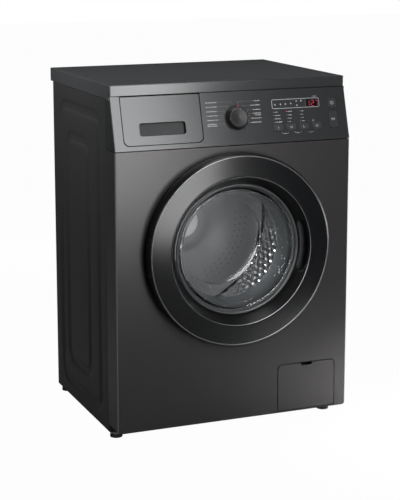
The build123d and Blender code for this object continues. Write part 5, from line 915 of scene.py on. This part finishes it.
    def buttons(self) -> None:
        """Button caps with a small sign on each."""
        for i, x in enumerate(self.options, start=1):
            node = f"option_button_{i}"
            refined(node, Finishes.BUTTON, f"option_{i}", 0.35)
            mark = FacePrint(self.layout, self.cap_lift)
            s = self.option_s
            if i == 1:
                mark.bar(x, s, 1.0, 5.0)
                mark.bar(x, s + 3.4, 1.6, 1.6)
            elif i == 2:
                mark.ring(x, s, 2.3, 0.7, 40.0, 280.0)
            elif i == 3:
                mark.line((x - 2.2, s - 2.5), (x - 2.2, s + 2.5), 0.7)
                mark.line((x - 2.2, s + 2.2), (x + 2.4, s + 2.2), 0.7)
            else:
                mark.ring(x, s, 2.4, 0.7)
            mark.build(f"option_{i}", f"{node}_sign")
        refined("power_button", Finishes.BUTTON, "power", 0.4)
        mark = FacePrint(self.layout, self.cap_lift)
        mark.ring(*self.power, 3.4, 0.9, 30.0, 300.0)
        mark.bar(self.power[0], self.power[1] - 2.8, 0.9, 4.2)
        mark.build("power", "power_button_sign")
        refined("start_button", Finishes.BUTTON, "start", 0.4)
        mark = FacePrint(self.layout, self.cap_lift)
        x, s = self.start
        for dx in (1.6, 3.6):
            mark.bar(x + dx, s, 0.9, 5.6)
        for turn, ds in ((-35.0, -1.4), (35.0, 1.4)):
            mark.bar(x - 2.2, s + ds, 4.4, 0.9, turn)
        mark.bar(x - 3.9, s, 0.9, 5.6)
        mark.build("start", "start_button_sign")


@dataclass
class ProgrammeDial:
    """Turned knob with a grooved conical face."""

    layout: FaceLayout
    top: float = 16.95
    pointer_turn: float = -12.5
    pointer_reach: float = 20.6

    def build(self) -> None:
        """Turn the knob, its face and its pointer."""
        place = self.layout.spot(*self.layout.dial)
        profile: list[Point] = [(0.0, -11.0), (4.0, -11.0), (4.0, 0.8), (26.6, 0.8), (27.3, 1.4), (27.2, 3.4),
                                (25.2, 6.4), (23.6, 9.0), (22.8, 14.6), (22.2, 16.0), (21.0, 16.9), (20.0, 16.9)]
        radius = 19.4
        while radius > 1.0:
            fall = 3.0 * (1.0 - radius / 20.0)
            profile.append((radius, 16.6 - fall))
            profile.append((radius - 0.3, 16.68 - fall))
            radius -= 0.6
        profile.append((0.0, 13.7))
        knob = turned(profile, place, 96)
        make_piece("dial_knob", knob, Finishes.DIAL, "dial", ("programme_dial",), crease=60.0)
        pointer = bmesh.new()
        middle = self.layout.spot(*self.layout.dial, self.top, self.pointer_turn)
        spot = middle @ Matrix.Translation((0, self.pointer_reach, 0))
        bmesh.ops.create_cube(pointer, size=1.0, matrix=spot @ Matrix.Diagonal((1.1, 2.6, 0.3, 1.0)))
        make_piece("dial_pointer", pointer, Finishes.PRINT, "dial")
        edge = turned(((22.9, 14.4), (23.15, 14.7), (22.75, 15.6), (22.3, 15.9)), place, 96, closed=True)
        make_piece("dial_edge_line", edge, Finishes.DIAL_EDGE, "dial")


@dataclass
class DetergentDrawer:
    """Drawer front with its finger recess, and the tray behind it."""

    layout: FaceLayout
    recess_x: float = -177.75
    recess_s: float = 79.0
    recess_half: Point = (56.8, 15.1)

    def build(self) -> None:
        """Refine the drawer's solids and give them their finishes."""
        front = refined("drawer_front", Finishes.FASCIA, "drawer", 0.5)
        paint_faces(front, Finishes.RECESS, self.in_recess)
        refined("drawer_tray", Finishes.PALE, "drawer", 0.4)
        refined("softener_cap", Finishes.BLUE, "drawer", 0.4)
        refined("dispenser_housing", Finishes.PALE, "cabinet", 0.3)

    def in_recess(self, face: bpy.types.MeshPolygon) -> bool:
        """Whether a face of the drawer's front lies in the finger recess."""
        spot = self.layout.spot(0, 0).inverted() @ (face.center / MM)
        across, down = spot.x - self.recess_x, -spot.y - self.recess_s
        return spot.z < -1.0 and abs(across) < self.recess_half[0] and abs(down) < self.recess_half[1]


@dataclass
class Door:
    """Round door: gloss ring, glass bowl, pale lines of painted highlight on its edges, and the latch."""

    steps: int = 128
    ring_steps: int = 192
    radius: float = 231.0
    lug_zs: tuple = (413.0, 497.0)
    notch: float = 14.0
    notch_x: float = -150.0
    notch_y: float = -262.4
    notch_reach: float = 226.0
    slot_half: float = 58.0
    slot_ys: Point = (-264.5, -243.0)
    slot_mid_y: float = -254.0
    slot_flat: float = 6.0
    slot_taper: float = 2.2
    slot_reach: float = 176.5
    edge_y: float = -259.0
    edge_round: float = 6.0
    face_width: float = 47.0
    face_rise: float = 5.0
    eye: tuple = ((179.0, -269.95), (178.0, -269.7), (177.4, -269.0))
    cone: Point = (-19.4, 31.0)
    wall: float = 2.6
    lines: tuple = (
        ("door_edge_highlight", ((224.6, -265.1), (225.2, -265.7), (226.3, -265.7), (227.4, -264.8), (226.8, -264.0))),
        ("door_eye_highlight", ((176.9, -269.2), (177.5, -269.85), (178.1, -269.95), (178.0, -269.0))),
    )

    def build(self) -> None:
        """Build the ring, the painted highlight lines, the bowl and the rim."""
        self.ring()
        self.bowl()
        refined("door_inner_frame", Finishes.BLACK, "door", 0.4)
        refined("hinge_pin", Finishes.STEEL, "door")
        refined("latch_hook", Finishes.BLACK, "latch", 0.3)
        refined("hinge_bracket", Finishes.BLACK, "cabinet", 0.5)
        # Thin pale rings on the ring's outer and inner edges: painted highlight lines.
        for name, profile in self.lines:
            line = turned(profile, mouth_axis(), self.steps, closed=True)
            make_piece(name, line, Finishes.EDGE, "door", crease=70.0)

    def ring(self) -> None:
        """Turn the hollow outer ring as one skin, open it for the fingers and the hinge lugs, and thicken it."""
        rim, front = self.radius - self.edge_round, self.edge_y - self.edge_round
        profile: list[Point] = [(self.radius, -233.0), (self.radius, -247.0)]
        for i in range(9):
            angle = i / 8 * pi / 2
            profile.append((rim + self.edge_round * cos(angle), self.edge_y - self.edge_round * sin(angle)))
        profile += [(rim - self.face_width * i / 8, front - self.face_rise * (i / 8) ** 0.9) for i in range(1, 8)]
        profile += self.eye
        radius, along = self.eye[-1]
        profile += [(radius + self.cone[0] * i / 12, along + self.cone[1] * i / 12) for i in range(1, 13)]
        shape = turned(profile, Matrix.Identity(4), self.ring_steps)
        bmesh.ops.transform(shape, matrix=mouth_axis(), verts=shape.verts)
        shape.normal_update()
        if sum(f.normal.y * f.calc_area() for f in shape.faces) > 0:
            bmesh.ops.reverse_faces(shape, faces=shape.faces)
        for z in self.lug_zs:
            for edge in (-self.notch / 2, self.notch / 2):
                near = [f for f in shape.faces if self.by_hinge(f.calc_center_median())]
                geom = [*near, *dict.fromkeys(item for f in near for item in (*f.edges, *f.verts))]
                bmesh.ops.bisect_plane(shape, geom=geom, plane_co=(0, 0, z + edge), plane_no=(0, 0, 1))
        gone = []
        for one in shape.faces:
            at = one.calc_center_median()
            reach = (at.x ** 2 + (at.z - MOUTH_Z) ** 2) ** 0.5
            if self.by_hinge(at) and reach > self.notch_reach and any(
                    abs(at.z - z) < self.notch / 2 for z in self.lug_zs):
                gone.append(one)
            slot = at.x > 0 and reach < self.slot_reach and self.slot_ys[0] < at.y < self.slot_ys[1]
            narrow = self.slot_taper * max(0.0, abs(at.y - self.slot_mid_y) - self.slot_flat)
            if slot and abs(at.z - MOUTH_Z) < self.slot_half - narrow:
                gone.append(one)
        bmesh.ops.delete(shape, geom=gone, context="FACES")
        piece = make_piece("door_ring", shape, Finishes.DOOR, "door", ("door_frame",), crease=40.0)
        paint_faces(piece, Finishes.DOOR_FACE, lambda face: face.normal.y < -0.9)
        add_wall(piece, self.wall)

    def by_hinge(self, at: Vector) -> bool:
        """Whether a point lies on the hinge side, behind the ring's face."""
        return at.x < self.notch_x and at.y > self.notch_y

    def bowl(self) -> None:
        """Turn the glass bowl with rounded corners, and its bright rim."""
        outer = [(157.6, -240.5), (157.6, -236.5), (155.6, -235.5), (147.0, -235.3), (145.2, -233.0),
                 (142.6, -221.0), (139.0, -200.0), (113.6, -131.5), (112.4, -129.6), (110.2, -127.9)]
        crown = [(110.2 * (1 - i / 10), -127.9 + 2.4 * (1 - (1 - i / 10) ** 2)) for i in range(1, 11)]
        inner_crown = [(105.6 * i / 10, -130.6 - 2.0 * (i / 10) ** 2) for i in range(0, 11)]
        inner = [(107.6, -134.4), (108.8, -136.6), (134.0, -200.0), (137.6, -221.5), (140.6, -239.0),
                 (142.0, -240.3), (143.4, -240.5)]
        shape = turned([*outer, *crown, *inner_crown, *inner, outer[0]], mouth_axis(), self.steps)
        make_piece("glass_bowl", shape, Finishes.GLASS, "door", ("door_glass",), crease=50.0)
        rim = turned(((151.6, -240.6), (152.0, -242.2), (153.2, -243.7), (154.8, -244.5), (156.2, -244.0),
                      (157.2, -242.6), (157.6, -240.6)), mouth_axis(), self.steps, closed=True)
        make_piece("bright_glass_rim", rim, Finishes.RIM, "door", ("glass_rim",), crease=50.0)


@dataclass
class MouthGasket:
    """Rubber bellows between the panel's mouth and the tub."""

    steps: int = 128

    def build(self) -> None:
        """Turn the bellows with soft folds and a lip."""
        outer = [(167.4, -226.4), (167.4, -210.5), (166.6, -207.6), (164.0, -206.0), (155.0, -204.2),
                 (152.4, -202.6), (150.2, -200.0), (145.6, -192.4), (140.6, -184.6), (137.4, -179.6),
                 (137.0, -178.2), (138.0, -177.2), (150.0, -175.6), (166.0, -174.0), (174.0, -172.6),
                 (176.4, -170.6), (177.5, -167.6), (177.5, -158.9)]
        inner = [(174.7, -158.9), (174.6, -167.0), (173.0, -169.6), (166.0, -171.0), (150.0, -172.6),
                 (138.0, -174.0), (134.6, -175.6), (133.6, -178.0), (134.4, -180.4), (138.0, -186.0),
                 (143.0, -194.0), (147.6, -202.0), (150.6, -205.0), (156.0, -207.0), (162.4, -208.4),
                 (164.2, -209.6), (164.5, -212.0), (164.5, -226.4)]
        shape = turned([*outer, *inner], mouth_axis(), self.steps, closed=True)
        make_piece("gasket_bellows", shape, Finishes.SEAL, "cabinet", ("gasket",), crease=60.0)


@dataclass
class WashDrum:
    """Stainless drum: embossed wall, perforated back and three lifters."""

    radius: float = 234.8
    front: float = -140.0
    back: float = 118.0
    cells_round: int = 48
    cells_deep: int = 8
    cell_steps: int = 6
    rise: float = 4.6
    plain: Point = (18.0, 14.0)
    sheet: float = 0.9
    wall_hole: float = 1.9
    back_hole: float = 1.7
    arcs: tuple = ((150.0, 12), (164.0, 13), (178.0, 14))
    arc_spread: float = 70.0
    lifter_length: float = 230.0
    lifter_rings: tuple = ((0.0, 0.0, 56.0, 10.0), (2.0, 4.0, 50.0, 10.0), (7.0, 20.0, 35.0, 9.0),
                           (10.0, 34.0, 24.0, 8.0), (12.5, 40.0, 18.5, 7.0), (16.0, 43.0, 12.0, 5.0),
                           (20.0, 44.0, 6.0, 2.6))

    def build(self) -> None:
        """Build the wall, the back, the holes and the lifters."""
        self.wall()
        self.back_wall()
        self.lifters()

    def wall(self) -> None:
        """Turn the wall, raise its pillows in diagonal rows and add the mouth's lip."""
        rows = self.cells_deep * self.cell_steps
        low, high = self.front + self.plain[0], self.back - self.plain[1]
        profile: list[Point] = [(170.0, self.front - 6.0), (171.0, self.front - 1.2), (173.0, self.front + 0.4),
                                (229.0, self.front + 1.2), (233.2, self.front + 3.2), (self.radius, self.front + 8.0)]
        profile += [(self.radius, low + (high - low) * i / rows) for i in range(rows + 1)]
        profile.append((self.radius, self.back - 2.0))
        shape = turned(profile, Matrix.Identity(4), self.cells_round * self.cell_steps)
        for vert in shape.verts:
            if not low < vert.co.z < high:
                continue
            turn = vert.co.xy.angle_signed(Vector((1.0, 0.0))) / (2 * pi) * self.cells_round
            deep = (vert.co.z - low) / (high - low) * self.cells_deep
            pillow = abs(sin(pi * (turn + deep))) * abs(sin(pi * (turn - deep)))
            vert.co.xy *= (self.radius - self.rise * pillow ** 0.7) / self.radius
        if sum(f.normal.dot(f.calc_center_median() * Vector((1, 1, 0))) for f in shape.faces) > 0:
            bmesh.ops.reverse_faces(shape, faces=shape.faces)
        bmesh.ops.transform(shape, matrix=mouth_axis(), verts=shape.verts)
        piece = make_piece("drum_wall", shape, Finishes.DRUM, "drum", ("drum_shell",), crease=60.0)
        add_wall(piece, self.sheet)
        # The wall's holes are dark discs of painted shade laid on the wall.
        holes = bmesh.new()
        for row in range(self.cells_deep * 2 - 1):
            along = low + (high - low) * (row + 1) / (self.cells_deep * 2)
            for step in range(self.cells_round):
                angle = 2 * pi * (step + 0.5 * ((row + 1) % 2)) / self.cells_round
                self.hole(holes, (cos(angle), sin(angle)), self.radius - 0.12, along, self.wall_hole, True)
        make_piece("drum_wall_holes", holes, Finishes.HOLE_SHADE, "drum")

    def hole(self, shape: bmesh.types.BMesh, way: Point, radius: float, along: float, size: float,
             in_wall: bool) -> None:
        """Dark disc of painted shade that stands for a drilled hole.

        Args:
            shape: Bmesh that gathers the discs.
            way: Direction from the axis.
            radius: Distance from the axis.
            along: Position along the axis.
            size: Hole radius.
            in_wall: Whether the disc faces the axis, or the mouth.
        """
        out = Vector((way[0], way[1], 0.0))
        spot = out * radius + Vector((0, 0, along))
        facing = -out if in_wall else Vector((0.0, 0.0, -1.0))
        across = facing.orthogonal().normalized()
        local = frame_matrix(spot, across, facing.cross(across))
        bmesh.ops.create_circle(shape, cap_ends=True, segments=8, radius=size, matrix=mouth_axis() @ local)

    def back_wall(self) -> None:
        """Turn the dished back and mark its arcs of holes with discs of painted shade."""
        profile = [(0.0, 111.0), (40.0, 111.0), (56.0, 111.2), (62.0, 111.8), (76.0, 115.2), (82.0, 115.9),
                   (120.0, 116.0), (206.0, 116.0), (214.0, 115.6), (222.0, 113.6), (230.0, 111.0), (233.2, 110.6)]
        shape = turned(profile, Matrix.Identity(4), 128)
        if sum(f.normal.z for f in shape.faces) > 0:
            bmesh.ops.reverse_faces(shape, faces=shape.faces)
        bmesh.ops.transform(shape, matrix=mouth_axis(), verts=shape.verts)
        piece = make_piece("drum_back_dish", shape, Finishes.DRUM_BACK, "drum", ("drum_back",), crease=50.0)
        add_wall(piece, self.sheet)
        holes = bmesh.new()
        for arm in range(3):
            for radius, count in self.arcs:
                for i in range(count):
                    angle = radians(150.0 + arm * 120.0 + self.arc_spread * (i / (count - 1) - 0.5))
                    self.hole(holes, (cos(angle), sin(angle)), radius, 115.9, self.back_hole, False)
        make_piece("drum_back_holes", holes, Finishes.HOLE_SHADE, "drum")

    def lifters(self) -> None:
        """Loft three hollow-backed lifters with soft crests."""
        shape = bmesh.new()
        for arm in range(3):
            turn = Matrix.Rotation(radians(90.0 + 120.0 * arm), 4, "Z")
            rings = []
            for inset, rise, wide, corner in self.lifter_rings:
                spot = frame_matrix((232.8 - rise, 0, -11.0), (0, 0, 1), (0, 1, 0))
                length = self.lifter_length - 2 * inset
                rings.append(rounded_ring(shape, length, wide, corner, mouth_axis() @ turn @ spot, 5))
            loft(shape, rings)
        bmesh.ops.recalc_face_normals(shape, faces=shape.faces)
        make_piece("drum_lifter_set", shape, Finishes.LIFTER, "drum", ("drum_lifters",), crease=50.0)


@dataclass
class FrontSheet:
    """Front panel and the filter flap in its lower right corner."""

    bend_x: float = 296.5

    def build(self) -> None:
        """Refine the panel, the flap, the filter bay and its plug."""
        sheet = refined("front_panel", Finishes.FRONT, "cabinet", 1.1)
        # The bent side edges get the lighter paint as a painted highlight.
        paint_faces(sheet, Finishes.FRONT_BEND_HIGHLIGHT, self.gets_bend_highlight)
        refined("filter_cover", Finishes.FRONT, "flap", 0.35)
        refined("filter_bay", Finishes.BLACK, "cabinet", 0.3)
        refined("filter_plug", Finishes.PALE, "plug", 0.6)

    def gets_bend_highlight(self, face: bpy.types.MeshPolygon) -> bool:
        """Whether a face of the panel lies on its bent side edges, which get the painted highlight."""
        return abs(face.center.x) > self.bend_x * MM and abs(face.normal.x) > 0.2 and face.normal.y < -0.2


@dataclass
class RearPanel:
    """Rear sheet with its service cover, screws, transit plugs and louvres."""

    face_y: float = 257.5
    cover_z: float = 440.0

    def build(self) -> None:
        """Refine the sheets and add the small fittings on them."""
        refined("rear_panel", Finishes.GALVANISED, "cabinet", 0.2)
        refined("rear_cover", Finishes.GALVANISED, "cabinet", 0.4)
        refined("rear_fittings", Finishes.BLACK, "cabinet", 0.4)
        refined("inlet_valve", Finishes.PALE, "cabinet", 0.4)
        self.screws()
        self.plugs()
        self.louvres()

    def spot(self, x: float, z: float, lift: float = 0.0) -> Matrix:
        """Place on the rear sheet, with Z outwards."""
        return frame_matrix((x, self.face_y + lift, z), (-1, 0, 0), (0, 0, 1))

    def screws(self) -> None:
        """Dome-headed screws along the edges and round the cover, with dark bars of painted shade for their cross
        cuts.
        """
        spots = [(sign * 262.0, z, 0.0) for sign in (-1, 1) for z in (70.0, 300.0, 540.0, 800.0)]
        spots += [(172.0 * sin(i * pi / 3), self.cover_z + 172.0 * cos(i * pi / 3), 1.5) for i in range(6)]
        heads = bmesh.new()
        cuts = bmesh.new()
        for x, z, lift in spots:
            place = self.spot(x, z, lift)
            bmesh.ops.create_uvsphere(heads, u_segments=20, v_segments=10, radius=4.6,
                                      matrix=place @ Matrix.Diagonal((1.0, 1.0, 0.45, 1.0)))
            for turn in (20.0, 110.0):
                bar = place @ Matrix.Translation((0, 0, 1.95)) @ Matrix.Rotation(radians(turn), 4, "Z")
                bmesh.ops.create_cube(cuts, size=1.0, matrix=bar @ Matrix.Diagonal((4.4, 0.9, 0.4, 1.0)))
        make_piece("rear_screw_heads", heads, Finishes.STEEL, "cabinet", crease=60.0)
        make_piece("rear_screw_cuts", cuts, Finishes.HOLE_SHADE, "cabinet")

    def plugs(self) -> None:
        """Plastic plugs in the four transit bolt holes."""
        for i, (x, z) in enumerate(((-205.0, 640.0), (205.0, 640.0), (-205.0, 215.0), (205.0, 215.0)), start=1):
            profile = ((0.0, 3.4), (8.0, 3.4), (9.2, 2.4), (10.4, 2.2), (16.6, 2.2), (17.8, 1.4), (18.0, 0.0))
            make_piece(f"transit_plug_{i}", turned(profile, self.spot(x, z), 48), Finishes.BLACK, "cabinet")

    def louvres(self) -> None:
        """Two rows of pressed louvres under the top edge."""
        shape = bmesh.new()
        for column in range(2):
            for row in range(5):
                place = self.spot(-40.0 + 80.0 * column, 690.0 + 14.0 * row, 0.0)
                rings = [rounded_ring(shape, 62.0 - 2 * inset, 8.0 - 2 * inset, 3.6 - inset,
                                      place @ Matrix.Translation((0, drop, lift)), 5)
                         for inset, lift, drop in ((0.0, 0.0, 0.0), (0.5, 1.4, -0.2), (1.4, 2.4, -0.6),
                                                   (2.6, 2.8, -1.0))]
                loft(shape, rings)
        bmesh.ops.recalc_face_normals(shape, faces=shape.faces)
        make_piece("rear_louvres", shape, Finishes.GALVANISED, "cabinet", crease=50.0)


@dataclass
class BaseAndFeet:
    """Floor pan, levelling feet and their lock nuts."""

    def build(self) -> None:
        """Refine the solids and give them their finishes."""
        refined("base_frame", Finishes.BLACK, "cabinet", 0.6)
        refined("feet", Finishes.FOOT, "cabinet", 0.5)
        refined("foot_lock_nuts", Finishes.STEEL, "cabinet", 0.4)


@dataclass
class InnerWorks:
    """Pieces inside the cabinet, shown by their solids."""

    finishes: dict = field(default_factory=lambda: {
        Finishes.BLACK: ("door_lock", "control_board", "drain_pump", "filter_housing"),
        Finishes.PALE: ("tub_front", "tub_rear"),
        Finishes.SEAL: ("inner_hoses", "drive_belt"),
        Finishes.STEEL: ("hub_bearings", "drum_shaft", "tub_springs", "tub_dampers", "heater", "motor_pulley",
                         "gasket_clamp"),
        Finishes.CAST_METAL: ("drum_spider", "drum_pulley", "motor"),
        Finishes.WEIGHT: ("front_counterweight", "upper_counterweight"),
        Finishes.GALVANISED: ("upper_brace",),
    })

    def build(self) -> None:
        """Give each inner solid its finish."""
        for finish, nodes in self.finishes.items():
            for node in nodes:
                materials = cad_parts[node].data.materials
                materials.clear()
                materials.append(finish.material())
                log.info("%s keeps its solid in %s", node, finish.name)


@dataclass(frozen=True)
class Softbox:
    """Area lamp that faces a point."""

    name: str
    spot: tuple[float, float, float]
    aim: tuple[float, float, float]
    size: tuple[float, float]
    power: float
    spread: float = 180.0
    glossy: bool = True
    diffuse: bool = True

    def hang(self) -> None:
        """Put the lamp in the scene."""
        lamp = bpy.data.lights.new(self.name, "AREA")
        lamp.shape = "RECTANGLE"
        lamp.size, lamp.size_y = self.size
        lamp.energy = self.power
        lamp.spread = radians(self.spread)
        holder = bpy.data.objects.new(self.name, lamp)
        bpy.context.scene.collection.objects.link(holder)
        holder.location = self.spot
        holder.rotation_euler = (Vector(self.aim) - Vector(self.spot)).to_track_quat("-Z", "Y").to_euler()
        holder.visible_camera = False
        holder.visible_transmission = False
        holder.visible_glossy = self.glossy
        holder.visible_diffuse = self.diffuse


@dataclass
class Studio:
    """White studio with a pale floor, soft lamps and the picture's camera."""

    camera_spot: tuple[float, float, float] = (-1.37798, -3.35138, 1.21859)
    yaw: float = -22.391
    pitch: float = 10.739
    lens: float = 106.142
    shift: float = -0.1
    ambient: float = 0.09
    mirrored: float = 0.5
    floor_half: float = 14.0
    floor_z: float = -0.0005
    floor_color: Color = (0.13, 0.13, 0.13)
    floor_shown: float = 0.98
    lamps: tuple = (
        Softbox("key_card", (0.14, -1.6, 0.63), (0.14, 0.0, 0.63), (0.52, 0.74), 14.0),
        Softbox("key_card_upper", (0.17, -1.6, 1.5), (0.17, 0.0, 1.5), (0.6, 1.0), 20.5),
        Softbox("floor_card", (0.56, -0.52, 0.5), (0.54, -0.5, 0.0), (0.35, 0.35), 18.0, spread=90.0, glossy=False),
        Softbox("left_fill", (-0.95, 0.1, 1.15), (-0.3, 0.05, 0.8), (0.5, 0.5), 6.8, spread=120.0, glossy=False),
        Softbox("edge_card", (-2.4, -2.2, 1.4), (-0.3, -0.2, 0.7), (0.8, 1.4), 34.0, diffuse=False),
        Softbox("overhead", (0.1, -0.3, 2.8), (0.0, 0.0, 0.8), (1.2, 0.8), 6.0, spread=60.0),
        Softbox("back_fill", (0.5, 2.0, 0.45), (0.05, 0.27, 0.42), (1.0, 0.6), 42.0, glossy=False),
        Softbox("right_fill", (2.0, 0.15, 0.45), (0.3, 0.05, 0.42), (1.2, 0.6), 22.0),
        Softbox("drum_spark", (0.06, 0.095, 0.42), (0.2, -0.05, 0.35), (0.03, 0.03), 0.14),
        Softbox("drum_light", (-0.07, -0.105, 0.575), (0.2, 0.02, 0.4), (0.05, 0.05), 1.1),
    )

    def build(self) -> None:
        """Set up the world, the floor, the lamps and the camera."""
        scene = bpy.context.scene
        scene.view_settings.view_transform = "Standard"
        self.world(scene)
        self.floor()
        for lamp in self.lamps:
            lamp.hang()
        self.camera(scene)

    def seen(self, graph: ShaderGraph, spot: Value, limit: float) -> Value:
        """Rays that show the white background.

        Args:
            graph: Graph of the world or the floor.
            spot: Ray direction or floor position.
            limit: Light through glass counts as seen behind this value along Y.

        Returns:
            1 for straight rays, and for rays through glass to the back of the studio.
        """
        along = graph.node("SeparateXYZ", out="Y", Vector=spot)
        behind = graph.node("Math", {"operation": "GREATER_THAN"}, in_0=along, in_1=limit)
        through = graph.node("LightPath", out="Is Transmission Ray") * behind
        straight = graph.node("LightPath", out="Is Camera Ray")
        return graph.node("Math", {"operation": "MINIMUM"}, in_0=straight + through, in_1=1.0)

    def world(self, scene: bpy.types.Scene) -> None:
        """White where it is seen, softer where it lights.

        Args:
            scene: The scene that gets the world.
        """
        world = bpy.data.worlds.new("studio_world")
        scene.world = world
        world.use_nodes = True
        graph = ShaderGraph(world.node_tree)
        mirror = graph.node("LightPath", out="Is Glossy Ray")
        shown = self.seen(graph, graph.node("TexCoord", out="Generated"), 0.0)
        strength = shown * (1.0 - self.ambient) + self.ambient + mirror * (-self.ambient * self.mirrored)
        back = graph.node("Background", Color=(1.0, 1.0, 1.0, 1.0), Strength=strength)
        graph.node("OutputWorld", Surface=back)

    def floor(self) -> None:
        """Large pale floor that shows white and keeps a soft shadow under the machine."""
        shape = bmesh.new()
        bmesh.ops.create_grid(shape, x_segments=8, y_segments=8, size=self.floor_half,
                              matrix=Matrix.Translation((0, 0, self.floor_z)))
        mesh = bpy.data.meshes.new("studio_floor")
        shape.to_mesh(mesh)
        shape.free()
        floor = bpy.data.objects.new("studio_floor", mesh)
        bpy.context.scene.collection.objects.link(floor)
        material = bpy.data.materials.new("floor_white")
        material.use_nodes = True
        graph = ShaderGraph(material.node_tree)
        matte = graph.node("BsdfDiffuse", Color=(*self.floor_color, 1.0))
        white = graph.node("Emission", Color=(1.0, 1.0, 1.0, 1.0), Strength=1.0)
        shown = self.seen(graph, graph.node("TexCoord", out="Object"), -0.5)
        surface = graph.node("MixShader", in_0=shown * self.floor_shown, in_1=matte, in_2=white)
        graph.node("OutputMaterial", Surface=surface)
        mesh.materials.append(material)

    def camera(self, scene: bpy.types.Scene) -> None:
        """Camera at the picture's place and angle, with a small shift for its upright edges.

        Args:
            scene: The scene that gets the camera.
        """
        data = bpy.data.cameras.new("picture_camera")
        data.sensor_width = 36.0
        data.lens = self.lens
        data.shift_y = self.shift
        data.clip_end = 60.0
        holder = bpy.data.objects.new("picture_camera", data)
        scene.collection.objects.link(holder)
        holder.location = self.camera_spot
        holder.rotation_euler = (radians(90.0 - self.pitch), 0.0, radians(self.yaw))
        scene.camera = holder


def main() -> None:
    """Build the machine piece by piece, then its studio."""
    logging.basicConfig(level=logging.INFO, format="%(name)s: %(message)s")
    layout = FaceLayout()
    parts: list[Any] = [
        Worktop(), SidePanel("left_side_panel", -1.0), SidePanel("right_side_panel", 1.0), FrontSheet(),
        ControlPanel(layout), ProgrammeDial(layout), DetergentDrawer(layout), Door(), MouthGasket(), WashDrum(),
        RearPanel(), BaseAndFeet(), InnerWorks(), Studio(),
    ]
    for part in parts:
        part.build()


if __name__ == "__main__":
    main()
